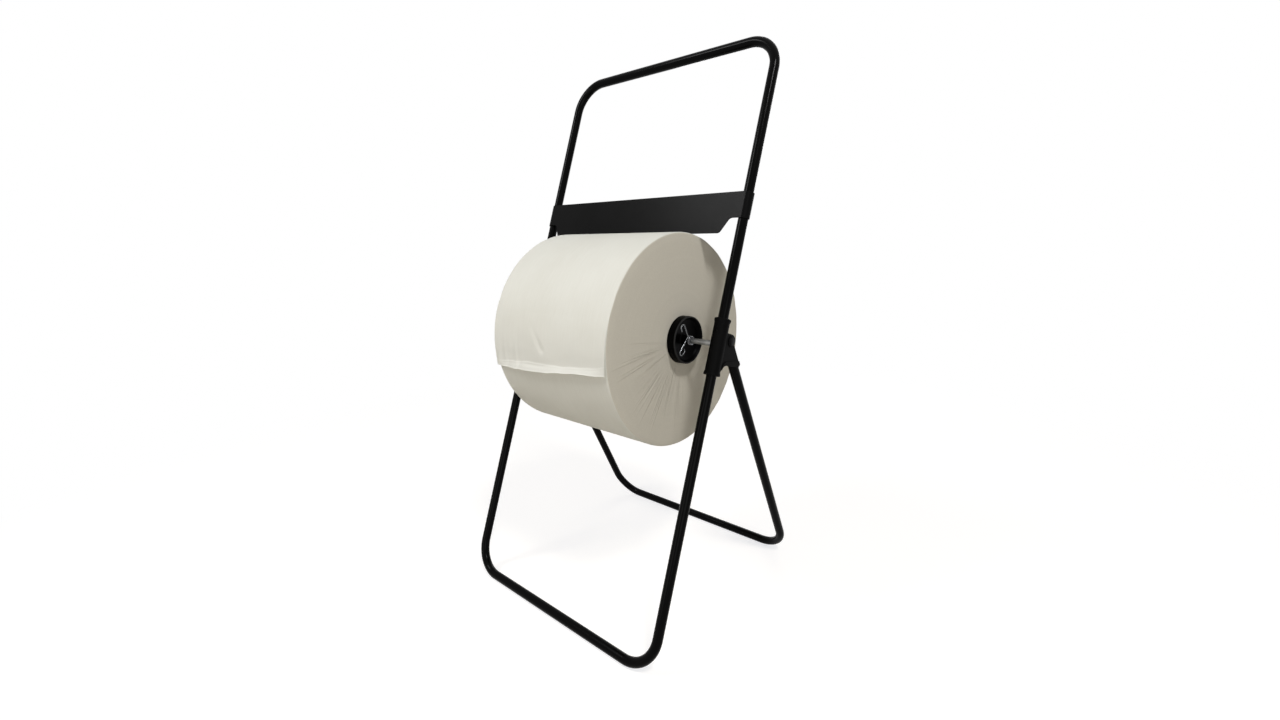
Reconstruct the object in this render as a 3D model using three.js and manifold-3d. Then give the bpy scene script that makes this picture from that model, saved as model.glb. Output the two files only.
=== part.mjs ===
// Floor stand with a jumbo wiper roll, built as separate solids.
// Millimetres. +Z is up, the front faces -Y, and the floor is z = 0.
import * as THREE from "three";
import { mergeVertices } from "three/addons/utils/BufferGeometryUtils.js";
import Module from "manifold-3d";

// Fits
const runningGap = 0.3;
const weldDistance = 1e-4;

// Steel tube
const tubeRadius = 7.5;
const tubeWall = 1.2;
const tubeSides = 20;
const tubeBoreSides = 12;
const bendRadius = 50;
const bendSteps = 8;

// Paper roll, which hangs a little below the rod on the plugs
const rollRadius = 159.9;
const rollWidth = 244;
const rollRoomLeft = 105.8;
const rollRoomRight = 65.2;
const rollHang = 3.5;
const rollEdgeRound = 4;
const rollEdgeSteps = 3;
const rollSides = 72;
const coreBoreRadius = 29.8;
const coreWall = 2.2;
const coreSides = 40;

// Front frame: two hoops in one leaning plane, wide enough for the roll
const frameSpan = rollRoomLeft + rollWidth + rollRoomRight;
const frameLength = 928.5;
const frameLeanDegrees = 21.2;

// Rear stand: a third hoop, hinged behind the front tubes
const hingeAlong = 478;
const hingeBehind = 18.8;
const rearFootReach = 395;
const legTubeStart = 9;
const legStemLength = 22.5;

// Moulded side bracket: a sleeve round the front tubes
const sleeveRadius = 11;
const sleeveBelowHinge = 54;
const sleeveAboveHinge = 28;
const sleeveSides = 32;
const collarRadius = 12;
const collarHeight = 7;
const collarBand = 2.5;
const collarChamfer = 0.8;

// The bracket's two cheeks, with a roof over the hinge and a flange along their lower edge
const channelHalfWidth = 7.8;
const cheekWall = 1.8;
const cheekEdgeRound = 0.7;
const cheekRoundSteps = 2;
const cheekRootBehind = -2;
const cheekRearReach = 4.3;
const cheekLength = 45;
const cornerDrop = 1.5;
const cornerInset = 5.6;
const archCrownBehind = 19;
const archCrownRise = 18;
const archRootBehind = 5.5;
const archRootRise = 3.5;
const archFullness = 10;
const flangeHeight = 6.5;
const flangeProud = 1.1;
const bossRadius = 8.7;
const bossProud = 1.5;
const bossEdgeRound = 1;
const roundSteps = 16;
const curveSteps = 8;
const cornerSteps = 4;

// Hinge pin
const pinRadius = 3;
const pinHeadRadius = 6.2;
const pinHeadHeight = 2.2;
const pinRecessDepth = 1.2;
const pinSides = 24;

// Screw that locks the upper hoop, in the front of each sleeve
const lockScrewRadius = 2;
const lockScrewAboveHinge = 9.5;
const lockScrewSunk = 0.6;
const slotWidth = 0.8;
const slotDepth = 0.8;
const screwEdgeChamfer = 0.4;
const screwSides = 16;

// Spindle rod, whose sockets are in the solid middle of each sleeve
const rodRadius = 4;
const rodSides = 24;
const rodChamfer = 0.8;
const spindleBelowHinge = 8.5;
const socketWall = 4.5;
const shallowSocketDepth = 9;
const deepSocketDepth = 19;

// Tear plate
const plateThickness = 1.2;
const plateRollGap = 3.1;
const plateHeight = 61.5;
const plateWrapRise = 22.5;
const plateTongueInsetLeft = 27.5;
const plateTongueInsetRight = 30.5;
const plateChamferInset = 19;
const plateChamferRise = 19;
const plateFilletRun = 7;
const plateCornerRound = 3.5;
const wrapSweepDegrees = 205;
const wrapSteps = 14;
const wrapChamferBehind = 2;
const wrapChamferRise = 7;
const plateScrewRadius = 1.8;
const plateScrewHeadRadius = 3.4;
const plateScrewHeadHeight = 1.8;
const plateScrewLength = 5.5;

// Loose end of the paper, over the front of the roll; its lifted edge still passes under the plate
const sheetThickness = 1;
const sheetStartDegrees = 22;
const sheetCreaseDegrees = -6.2;
const sheetEndDegrees = -10.5;
const sheetSlantDegrees = 3.5;
const sheetEndLift = 1.5;
const sheetCreaseLift = 0.5;
const sheetInset = 3;
const sheetSteps = 18;
const sheetCrossSteps = 6;

// Core plug
const plugRimRadius = 35.4;
const plugBaseGap = 1;
const plugDepth = 13.9;
const plugWall = 2.4;
const plugSideTaper = 0.15;
const plugLipChamfer = 0.6;
const plugFloorThickness = 2.6;
const plugDishBend = 4.8;
const plugDishFloorRadius = 15;
const plugHubRadius = 7;
const plugHubShort = 1.3;
const spigotRadius = 26;
const spigotLength = 24;
const spigotTaper = 0.8;
const spigotWall = 2.2;
const plugSides = 40;

// Spring clip of round wire: two coils on the rod and two finger hooks
const wireRadius = 1;
const wireSides = 5;
const coilRadius = 5.75;
const coilPitch = 3;
const coilStepsPerTurn = 8;
const coilWoundDegrees = 648;
const clipUpperDegrees = 115;
const upperArmLength = 29.5;
const lowerArmLength = 24;
const hookRadius = 4.2;
const hookTurnDegrees = 175;
const upperTailLength = 4;
const lowerTailLength = 4.5;
const tailCurlRadius = 2.2;
const tailCurlDegrees = 80;
const tailCurlEnd = 2.2;
const hookSteps = 6;
const tailCurlSteps = 3;

// Which way each side lies from the middle, and how deep the rod's socket is there
const sides = [
  { word: "left", side: -1, socketDepth: deepSocketDepth },
  { word: "right", side: 1, socketDepth: shallowSocketDepth },
];

const lean = THREE.MathUtils.degToRad(frameLeanDegrees);
const halfSpan = frameSpan / 2;
const footHeight = tubeRadius * Math.cos(Math.PI / tubeSides);
const xAxis = new THREE.Vector3(1, 0, 0);
const upFrame = new THREE.Vector3(0, Math.sin(lean), Math.cos(lean));
const behindFrame = new THREE.Vector3(0, Math.cos(lean), -Math.sin(lean));

// In the frame's own axes x runs behind the frame, y runs up along it and z is the part's X.
const frameMatrix = new THREE.Matrix4()
  .makeBasis(behindFrame, upFrame, xAxis)
  .setPosition(0, 0, footHeight);

function onFrame(x, behind, along) {
  return new THREE.Vector3(behind, along, x).applyMatrix4(frameMatrix);
}

const hingeCentre = onFrame(0, hingeBehind, hingeAlong);
const rearFoot = new THREE.Vector3(0, rearFootReach, footHeight);
const legDown = rearFoot.clone().sub(hingeCentre).normalize();
const legAngle = Math.acos(-legDown.dot(upFrame));
const spindleAlong = hingeAlong - spindleBelowHinge;
const upperHoopStart = spindleAlong + rodRadius + socketWall;
const lowerHoopEnd = spindleAlong - rodRadius - socketWall;
const sleeveBottom = hingeAlong - sleeveBelowHinge;
const sleeveTop = hingeAlong + sleeveAboveHinge;
const lockScrewAlong = hingeAlong + lockScrewAboveHinge;
const spindleCentre = onFrame(0, 0, spindleAlong);
const rollHalfWidth = rollWidth / 2;
const rollCentreX = (rollRoomLeft - rollRoomRight) / 2;
const rollCentre = spindleCentre.clone().add(new THREE.Vector3(rollCentreX, 0, -rollHang));

// The plate's lower back edge clears the roll by its own gap.
const plateBack = tubeRadius + runningGap;
const rollAlong = spindleAlong - rollHang * Math.cos(lean);
const rollBehind = rollHang * Math.sin(lean);
const plateBottom = rollAlong + Math.sqrt((rollRadius + plateRollGap) ** 2 - (plateBack + rollBehind) ** 2);
const plateTop = plateBottom + plateHeight;
const plateWrapBottom = plateBottom + plateWrapRise;
const plateScrewAlong = (plateWrapBottom + plateTop) / 2;

const finishes = {
  blackTube: new THREE.MeshStandardMaterial({ color: 0x141414, roughness: 0.35, metalness: 0.3 }),
  blackSheet: new THREE.MeshStandardMaterial({ color: 0x1e1e1e, roughness: 0.5, metalness: 0.3 }),
  blackPlastic: new THREE.MeshStandardMaterial({ color: 0x1a1a1a, roughness: 0.6, metalness: 0 }),
  zinc: new THREE.MeshStandardMaterial({ color: 0xb8bcbe, roughness: 0.35, metalness: 1 }),
  darkScrew: new THREE.MeshStandardMaterial({ color: 0x2a2a2a, roughness: 0.4, metalness: 0.8 }),
  paper: new THREE.MeshStandardMaterial({ color: 0xe6e6dc, roughness: 0.95, metalness: 0 }),
  board: new THREE.MeshStandardMaterial({ color: 0xa98f6c, roughness: 0.9, metalness: 0 }),
};

const wasm = await Module();
wasm.setup();

const part = new THREE.Group();
part.name = "roll_floor_stand";

// Joins equal corners and drops the triangles that this leaves without area.
function weld(geometry) {
  const bare = geometry.clone();
  bare.deleteAttribute("normal");
  bare.deleteAttribute("uv");
  const joined = mergeVertices(bare, weldDistance);
  const kept = [];
  const index = joined.index.array;
  for (let i = 0; i < index.length; i += 3) {
    const [a, b, c] = [index[i], index[i + 1], index[i + 2]];
    if (a !== b && b !== c && c !== a) {
      kept.push(a, b, c);
    }
  }
  joined.setIndex(kept);
  return joined;
}

function signedVolume(geometry) {
  const place = geometry.attributes.position;
  const index = geometry.index.array;
  const [a, b, c] = [new THREE.Vector3(), new THREE.Vector3(), new THREE.Vector3()];
  let sum = 0;
  for (let i = 0; i < index.length; i += 3) {
    a.fromBufferAttribute(place, index[i]);
    b.fromBufferAttribute(place, index[i + 1]);
    c.fromBufferAttribute(place, index[i + 2]);
    sum += a.dot(b.cross(c));
  }
  return sum / 6;
}

// A welded shape whose faces look outwards.
function closedShape(geometry) {
  const shape = weld(geometry);
  if (signedVolume(shape) < 0) {
    const index = shape.index.array;
    for (let i = 0; i < index.length; i += 3) {
      [index[i + 1], index[i + 2]] = [index[i + 2], index[i + 1]];
    }
  }
  return shape;
}

function toSolid(geometry) {
  const shape = closedShape(geometry);
  return new wasm.Manifold(
    new wasm.Mesh({
      numProp: 3,
      vertProperties: Float32Array.from(shape.attributes.position.array),
      triVerts: Uint32Array.from(shape.index.array),
    }),
  );
}

function toGeometry(solid) {
  const mesh = solid.getMesh();
  const geometry = new THREE.BufferGeometry();
  geometry.setAttribute("position", new THREE.BufferAttribute(Float32Array.from(mesh.vertProperties), 3));
  geometry.setIndex(Array.from(mesh.triVerts));
  return geometry;
}

function addPiece(name, geometry, finish) {
  const shape = closedShape(geometry);
  shape.computeVertexNormals();
  const piece = new THREE.Mesh(shape, finish);
  piece.name = name;
  part.add(piece);
}

function intoFrame(geometry) {
  return geometry.clone().applyMatrix4(frameMatrix);
}

function mirrored(geometry, side) {
  return geometry.clone().scale(1, 1, side);
}

// Cylinder along the frame's z axis, which is the part's X.
function crossCylinder(radius, fromZ, toZ, sides) {
  const geometry = new THREE.CylinderGeometry(radius, radius, Math.abs(toZ - fromZ), sides);
  return geometry.rotateX(Math.PI / 2).translate(0, 0, (fromZ + toZ) / 2);
}

function shapeOf(points) {
  return new THREE.Shape(points);
}

function extruded(points, fromZ, toZ) {
  const geometry = new THREE.ExtrudeGeometry(shapeOf(points), { depth: toZ - fromZ, bevelEnabled: false });
  return geometry.translate(0, 0, fromZ);
}

function arcPoints(centre, radius, fromAngle, toAngle, steps) {
  const points = [];
  for (let i = 0; i <= steps; i += 1) {
    const angle = fromAngle + ((toAngle - fromAngle) * i) / steps;
    points.push(new THREE.Vector2(centre.x + radius * Math.cos(angle), centre.y + radius * Math.sin(angle)));
  }
  return points;
}

function ringPoints(radius, sides, turn) {
  const points = [];
  for (let i = 0; i < sides; i += 1) {
    const angle = turn + (2 * Math.PI * (i + 1 / 2)) / sides;
    points.push(new THREE.Vector2(radius * Math.cos(angle), radius * Math.sin(angle)));
  }
  return points;
}

// A path given by its own stations, so bends get more steps than straight runs.
class StationPath extends THREE.Curve {
  constructor(points, tangents) {
    super();
    this.points = points;
    this.tangents = tangents;
  }

  stationAt(share) {
    return Math.round(share * (this.points.length - 1));
  }

  getPoint(share, target = new THREE.Vector3()) {
    return target.copy(this.points[this.stationAt(share)]);
  }

  getPointAt(share, target = new THREE.Vector3()) {
    return this.getPoint(share, target);
  }

  getTangentAt(share, target = new THREE.Vector3()) {
    return target.copy(this.tangents[this.stationAt(share)]);
  }
}

function bentPath(corners, radius) {
  const points = [corners[0]];
  const tangents = [corners[1].clone().sub(corners[0]).normalize()];
  for (let i = 1; i < corners.length - 1; i += 1) {
    const before = corners[i].clone().sub(corners[i - 1]).normalize();
    const after = corners[i + 1].clone().sub(corners[i]).normalize();
    const turn = before.angleTo(after);
    const start = corners[i].clone().addScaledVector(before, -radius * Math.tan(turn / 2));
    const inward = after.clone().addScaledVector(before, -before.dot(after)).normalize();
    for (let k = 0; k <= bendSteps; k += 1) {
      const angle = (turn * k) / bendSteps;
      points.push(
        start
          .clone()
          .addScaledVector(before, radius * Math.sin(angle))
          .addScaledVector(inward, radius * (1 - Math.cos(angle))),
      );
      tangents.push(
        before.clone().multiplyScalar(Math.cos(angle)).addScaledVector(inward, Math.sin(angle)),
      );
    }
  }
  points.push(corners[corners.length - 1]);
  tangents.push(tangents[tangents.length - 1]);
  return new StationPath(points, tangents);
}

function sweep(shape, path) {
  return new THREE.ExtrudeGeometry(shape, {
    steps: path.points.length - 1,
    bevelEnabled: false,
    extrudePath: path,
  });
}

// Hollow tube; the turn of its facets puts one flat on the floor under a foot bar.
function hoop(corners, turn) {
  const section = shapeOf(ringPoints(tubeRadius, tubeSides, turn));
  section.holes.push(new THREE.Path(ringPoints(tubeRadius - tubeWall, tubeBoreSides, turn)));
  return sweep(section, bentPath(corners, bendRadius));
}

// Hole for a plate screw at one tube, from the tube's middle out through the plate's wrapped end
function plateScrewHole(z) {
  const radius = plateScrewRadius + runningGap;
  const reach = plateBack + plateThickness + plateScrewHeadHeight;
  const geometry = new THREE.CylinderGeometry(radius, radius, reach, screwSides);
  return toSolid(geometry.rotateZ(Math.PI / 2).translate(reach / 2, plateScrewAlong, z));
}

// Upper hoop: the carrying handle
function addUpperHoop() {
  const corners = [
    onFrame(-halfSpan, 0, upperHoopStart),
    onFrame(-halfSpan, 0, frameLength),
    onFrame(halfSpan, 0, frameLength),
    onFrame(halfSpan, 0, upperHoopStart),
  ];
  let solid = toSolid(hoop(corners, lean));
  for (const { side } of sides) {
    const hole = intoFrame(toGeometry(plateScrewHole(side * halfSpan)));
    solid = solid.subtract(toSolid(hole));
  }
  addPiece("upper_hoop", toGeometry(solid), finishes.blackTube);
}

function addLowerHoop() {
  const corners = [
    onFrame(-halfSpan, 0, lowerHoopEnd),
    onFrame(-halfSpan, 0, 0),
    onFrame(halfSpan, 0, 0),
    onFrame(halfSpan, 0, lowerHoopEnd),
  ];
  addPiece("lower_hoop", hoop(corners, lean), finishes.blackTube);
}

function addRearHoop() {
  const top = hingeCentre.clone().addScaledVector(legDown, legTubeStart);
  const corners = [
    top.clone().setX(-halfSpan),
    rearFoot.clone().setX(-halfSpan),
    rearFoot.clone().setX(halfSpan),
    top.clone().setX(halfSpan),
  ];
  const legSlope = Math.atan2(legDown.y, -legDown.z);
  addPiece("rear_hoop", hoop(corners, -legSlope), finishes.blackTube);
}

// Side bracket, drawn for the right side with its outer face towards +z of the frame's axes
const hingeSpot = new THREE.Vector2(hingeBehind, hingeAlong);
const legRun = new THREE.Vector2(Math.sin(legAngle), -Math.cos(legAngle));
const legRear = new THREE.Vector2(Math.cos(legAngle), Math.sin(legAngle));

function besideLeg(down, rear) {
  return hingeSpot.clone().addScaledVector(legRun, down).addScaledVector(legRear, rear);
}

function lowerEdge() {
  const crown = new THREE.Vector2(archCrownBehind, sleeveBottom + archCrownRise);
  const root = new THREE.Vector2(archRootBehind, sleeveBottom + archRootRise);
  const bend = new THREE.Vector2(archCrownBehind - archFullness, sleeveBottom + archCrownRise);
  const arch = new THREE.QuadraticBezierCurve(crown, bend, root);
  return [
    besideLeg(cheekLength, cheekRearReach),
    besideLeg(cheekLength + cornerDrop, cheekRearReach - cornerInset),
    ...arch.getPoints(curveSteps),
  ];
}

function cheekOutline() {
  const reach = channelHalfWidth + cheekWall;
  const rearAngle = legAngle - Math.acos(cheekRearReach / reach);
  return [
    new THREE.Vector2(cheekRootBehind, sleeveBottom + archRootRise),
    new THREE.Vector2(cheekRootBehind, hingeAlong + reach),
    ...arcPoints(hingeSpot, reach, Math.PI / 2, rearAngle, roundSteps),
    ...lowerEdge(),
  ];
}

function flangeOutline() {
  const edge = lowerEdge().slice(0, -2);
  const top = edge.map((point) => point.clone().add(new THREE.Vector2(0, flangeHeight))).reverse();
  top[top.length - 1] = besideLeg(cheekLength - flangeHeight, cheekRearReach);
  return [...edge, ...top.filter((point, i) => i !== top.length - 2)];
}

function channelOutline() {
  const front = sleeveRadius - runningGap;
  const runOut = besideLeg(cheekLength + sleeveBelowHinge, channelHalfWidth);
  return [
    new THREE.Vector2(front, hingeAlong),
    ...arcPoints(hingeSpot, channelHalfWidth, Math.PI, legAngle, roundSteps),
    runOut,
    new THREE.Vector2(front, runOut.y),
  ];
}

function roundedSlab(points, halfWidth, edgeRound) {
  const geometry = new THREE.ExtrudeGeometry(shapeOf(points), {
    depth: 2 * (halfWidth - edgeRound),
    bevelEnabled: true,
    bevelThickness: edgeRound,
    bevelSize: edgeRound,
    bevelOffset: -edgeRound,
    bevelSegments: cheekRoundSteps,
  });
  return geometry.translate(0, 0, edgeRound - halfWidth);
}

// Round boss about the hinge, a little proud of both cheeks
function hingeBoss() {
  const half = channelHalfWidth + cheekWall + bossProud;
  const inner = new THREE.Vector2(bossRadius - bossEdgeRound, bossEdgeRound - half);
  const outer = new THREE.Vector2(bossRadius - bossEdgeRound, half - bossEdgeRound);
  const profile = [
    new THREE.Vector2(0, -half),
    ...arcPoints(inner, bossEdgeRound, -Math.PI / 2, 0, cheekRoundSteps),
    ...arcPoints(outer, bossEdgeRound, 0, Math.PI / 2, cheekRoundSteps),
    new THREE.Vector2(0, half),
  ];
  const geometry = new THREE.LatheGeometry(profile, sleeveSides);
  return geometry.rotateX(Math.PI / 2).translate(hingeBehind, hingeAlong, 0);
}

// Sleeve with a flared collar at each end
function sleeveBody() {
  const half = [
    new THREE.Vector2(0, 0),
    new THREE.Vector2(collarRadius - collarChamfer, 0),
    new THREE.Vector2(collarRadius, collarChamfer),
    new THREE.Vector2(collarRadius, collarBand),
    new THREE.Vector2(sleeveRadius, collarHeight),
  ];
  const lower = half.map((point) => new THREE.Vector2(point.x, sleeveBottom + point.y));
  const upper = half.map((point) => new THREE.Vector2(point.x, sleeveTop - point.y)).reverse();
  return new THREE.LatheGeometry([...lower, ...upper], sleeveSides);
}

function tubeSocket(fromAlong, toAlong) {
  const radius = (tubeRadius + runningGap) / Math.cos(Math.PI / tubeSides);
  const geometry = new THREE.CylinderGeometry(radius, radius, toAlong - fromAlong, tubeSides);
  return geometry.translate(0, (fromAlong + toAlong) / 2, 0);
}

function lockScrewHole() {
  const radius = lockScrewRadius + runningGap;
  const geometry = new THREE.CylinderGeometry(radius, radius, sleeveRadius, screwSides);
  return geometry.rotateZ(Math.PI / 2).translate(-sleeveRadius, lockScrewAlong, 0);
}

function rodSocket(depth) {
  const mouth = -collarRadius;
  const geometry = crossCylinder(rodRadius + runningGap, mouth, depth - sleeveRadius, rodSides);
  return geometry.translate(0, spindleAlong, 0);
}

function hingeHole(radius, fromZ, toZ) {
  return crossCylinder(radius, fromZ, toZ, pinSides).translate(hingeBehind, hingeAlong, 0);
}

function bracket(socketDepth) {
  const cheekFace = channelHalfWidth + cheekWall;
  const bossFace = cheekFace + bossProud;
  const flangeFace = cheekFace + flangeProud;
  let solid = toSolid(roundedSlab(cheekOutline(), cheekFace, cheekEdgeRound));
  solid = solid.add(toSolid(roundedSlab(flangeOutline(), flangeFace, cheekEdgeRound)));
  solid = solid.add(toSolid(hingeBoss()));
  solid = solid.subtract(toSolid(extruded(channelOutline(), -channelHalfWidth, channelHalfWidth)));
  solid = solid.add(toSolid(sleeveBody()));
  solid = solid.subtract(toSolid(tubeSocket(upperHoopStart - runningGap, sleeveTop + sleeveRadius)));
  solid = solid.subtract(toSolid(tubeSocket(sleeveBottom - sleeveRadius, lowerHoopEnd + runningGap)));
  solid = solid.subtract(toSolid(lockScrewHole()));
  solid = solid.subtract(toSolid(rodSocket(socketDepth)));
  const holeReach = bossFace + runningGap;
  solid = solid.subtract(toSolid(hingeHole(pinRadius + runningGap, -holeReach, holeReach)));
  return solid.subtract(toSolid(hingeHole(pinHeadRadius + runningGap, bossFace - pinRecessDepth, holeReach)));
}

// Hinge pin with a domed head outside and its end flush inside
function hingePin() {
  const bossFace = channelHalfWidth + cheekWall + bossProud;
  const seat = bossFace - pinRecessDepth + runningGap;
  const end = runningGap - bossFace;
  const profile = [
    new THREE.Vector2(0, end),
    new THREE.Vector2(pinRadius, end),
    new THREE.Vector2(pinRadius, seat),
    new THREE.Vector2(pinHeadRadius, seat),
  ];
  for (let i = 1; i <= cornerSteps; i += 1) {
    const angle = (Math.PI / 2) * (i / cornerSteps);
    profile.push(
      new THREE.Vector2(
        pinHeadRadius * Math.cos(angle),
        seat + pinHeadHeight / 2 + (pinHeadHeight / 2) * Math.sin(angle),
      ),
    );
  }
  profile[profile.length - 1].x = 0;
  const geometry = new THREE.LatheGeometry(profile, pinSides);
  return geometry.rotateX(Math.PI / 2).translate(hingeBehind, hingeAlong, 0);
}

// Solid end of a rear leg: an eye for the pin and a stem that fills the tube
function legKnuckle() {
  const shoulder = legTubeStart - runningGap;
  const stemEnd = legTubeStart + legStemLength;
  const body = new THREE.CylinderGeometry(tubeRadius, tubeRadius, tubeRadius + shoulder, tubeSides);
  body.translate(0, (tubeRadius - shoulder) / 2, 0);
  const eye = [
    ...arcPoints(new THREE.Vector2(0, 0), tubeRadius, 0, Math.PI, roundSteps),
    new THREE.Vector2(-tubeRadius, -shoulder),
    new THREE.Vector2(tubeRadius, -shoulder),
  ];
  const stemRadius = (tubeRadius - tubeWall) * Math.cos(Math.PI / tubeBoreSides) - runningGap;
  const stem = new THREE.CylinderGeometry(stemRadius, stemRadius, stemEnd, screwSides);
  stem.translate(0, -stemEnd / 2, 0);
  let solid = toSolid(body).intersect(toSolid(extruded(eye, -tubeRadius, tubeRadius)));
  solid = solid.add(toSolid(stem));
  const hole = crossCylinder(pinRadius + runningGap, -channelHalfWidth, channelHalfWidth, pinSides);
  solid = solid.subtract(toSolid(hole));
  return toGeometry(solid).rotateZ(legAngle).translate(hingeBehind, hingeAlong, 0);
}

// Slotted screw along the frame's x axis; its tip is at zero and its head faces -x.
function slottedScrew(shankRadius, headRadius, headHeight, length) {
  const profile = [
    new THREE.Vector2(0, 0),
    new THREE.Vector2(shankRadius, 0),
    new THREE.Vector2(shankRadius, length - headHeight),
    new THREE.Vector2(headRadius, length - headHeight),
    new THREE.Vector2(headRadius, length - screwEdgeChamfer),
    new THREE.Vector2(headRadius - screwEdgeChamfer, length),
    new THREE.Vector2(0, length),
  ];
  const body = new THREE.LatheGeometry(profile, screwSides);
  const slot = new THREE.BoxGeometry(slotWidth, 2 * slotDepth, 2 * (headRadius + slotWidth));
  slot.translate(0, length, 0);
  return toGeometry(toSolid(body).subtract(toSolid(slot))).rotateZ(Math.PI / 2);
}

function addBrackets() {
  for (const { word, side, socketDepth } of sides) {
    const offset = side * halfSpan;
    const body = mirrored(toGeometry(bracket(socketDepth)), side).translate(0, 0, offset);
    addPiece(`${word}_bracket`, intoFrame(body), finishes.blackPlastic);
    const pin = mirrored(hingePin(), side).translate(0, 0, offset);
    addPiece(`${word}_hinge_pin`, intoFrame(pin), finishes.darkScrew);
    const knuckle = legKnuckle().translate(0, 0, offset);
    addPiece(`${word}_leg_knuckle`, intoFrame(knuckle), finishes.blackPlastic);
    const length = sleeveRadius - tubeRadius - runningGap - lockScrewSunk;
    const screw = slottedScrew(lockScrewRadius, lockScrewRadius, length / 2, length);
    screw.translate(-tubeRadius - runningGap, lockScrewAlong, offset);
    addPiece(`${word}_lock_screw`, intoFrame(screw), finishes.darkScrew);
  }
}

// Tear plate: a flat panel in front of the tubes whose ends wrap round them
function halfPlateOutline(tongueInset) {
  const tongue = halfSpan - tongueInset;
  const chamfer = new THREE.Vector2(halfSpan - plateChamferInset, plateBottom + plateChamferRise);
  const slope = (chamfer.x - tongue) / plateChamferRise;
  const corner = new THREE.Vector2(tongue, plateBottom);
  return [
    ...new THREE.QuadraticBezierCurve(
      new THREE.Vector2(tongue - plateCornerRound, plateBottom),
      corner,
      new THREE.Vector2(tongue + plateCornerRound * slope, plateBottom + plateCornerRound),
    ).getPoints(cornerSteps),
    ...new THREE.QuadraticBezierCurve(
      chamfer,
      new THREE.Vector2(tongue + slope * plateWrapRise, plateWrapBottom),
      new THREE.Vector2(chamfer.x + plateFilletRun, plateWrapBottom),
    ).getPoints(curveSteps),
    new THREE.Vector2(halfSpan, plateWrapBottom),
    new THREE.Vector2(halfSpan, plateTop),
  ];
}

function plateOutline() {
  const left = halfPlateOutline(plateTongueInsetLeft).map((point) => new THREE.Vector2(-point.x, point.y));
  return [...halfPlateOutline(plateTongueInsetRight), ...left.reverse()];
}

// One wrapped end, seen along the tube: x runs behind the frame and y runs outwards.
function wrapEnd() {
  const outer = plateBack + plateThickness;
  const centre = new THREE.Vector2(0, 0);
  const sweepAngle = THREE.MathUtils.degToRad(wrapSweepDegrees);
  const insideRadius = plateBack / Math.cos(sweepAngle / wrapSteps / 2);
  const points = [
    new THREE.Vector2(-outer, -tubeRadius),
    ...arcPoints(centre, outer, Math.PI, Math.PI - sweepAngle, wrapSteps),
    ...arcPoints(centre, insideRadius, Math.PI - sweepAngle, Math.PI, wrapSteps),
    new THREE.Vector2(-plateBack, -tubeRadius),
  ];
  const curl = extruded(points, 0, plateTop - plateWrapBottom);
  // Stands the section up along the frame's y axis, with its own y turned to the frame's z.
  curl.rotateX(Math.PI / 2).scale(1, -1, 1).translate(0, plateWrapBottom, 0);
  const clearOfWrap = outer + wrapChamferRise;
  const rise = (wrapChamferRise * (clearOfWrap - wrapChamferBehind)) / (outer - wrapChamferBehind);
  const corner = [
    new THREE.Vector2(wrapChamferBehind, plateWrapBottom),
    new THREE.Vector2(clearOfWrap, plateWrapBottom - wrapChamferRise),
    new THREE.Vector2(clearOfWrap, plateWrapBottom + rise),
  ];
  return toSolid(curl).subtract(toSolid(extruded(corner, -clearOfWrap, clearOfWrap)));
}

function addTearPlate() {
  const panel = extruded(plateOutline(), 0, plateThickness);
  // The outline's x becomes the frame's z, and its depth runs towards the front.
  panel.rotateY(-Math.PI / 2).translate(-plateBack, 0, 0);
  let solid = toSolid(panel);
  for (const { side } of sides) {
    const curl = wrapEnd().subtract(plateScrewHole(0));
    solid = solid.add(toSolid(mirrored(toGeometry(curl), side).translate(0, 0, side * halfSpan)));
  }
  addPiece("tear_plate", intoFrame(toGeometry(solid)), finishes.blackSheet);
  for (const { word, side } of sides) {
    const screw = slottedScrew(
      plateScrewRadius,
      plateScrewHeadRadius,
      plateScrewHeadHeight,
      plateScrewLength + plateScrewHeadHeight,
    );
    const headSeat = plateBack + plateThickness + runningGap;
    screw.rotateZ(Math.PI).translate(headSeat - plateScrewLength, plateScrewAlong, side * halfSpan);
    addPiece(`${word}_plate_screw`, intoFrame(screw), finishes.darkScrew);
  }
}

// Everything below turns about the part's X: a profile's y becomes X and its x the distance from the rod.
function aboutX(profile, sides, centre) {
  const geometry = new THREE.LatheGeometry(profile, sides);
  return geometry.rotateZ(-Math.PI / 2).translate(centre.x, centre.y, centre.z);
}

function addSpindle() {
  const rightEnd = halfSpan - sleeveRadius + shallowSocketDepth - runningGap;
  const leftEnd = -halfSpan + sleeveRadius - shallowSocketDepth + runningGap;
  const profile = [
    new THREE.Vector2(0, leftEnd),
    new THREE.Vector2(rodRadius - rodChamfer, leftEnd),
    new THREE.Vector2(rodRadius, leftEnd + rodChamfer),
    new THREE.Vector2(rodRadius, rightEnd - rodChamfer),
    new THREE.Vector2(rodRadius - rodChamfer, rightEnd),
    new THREE.Vector2(0, rightEnd),
  ];
  addPiece("spindle_rod", aboutX(profile, rodSides, spindleCentre), finishes.zinc);
}

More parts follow.
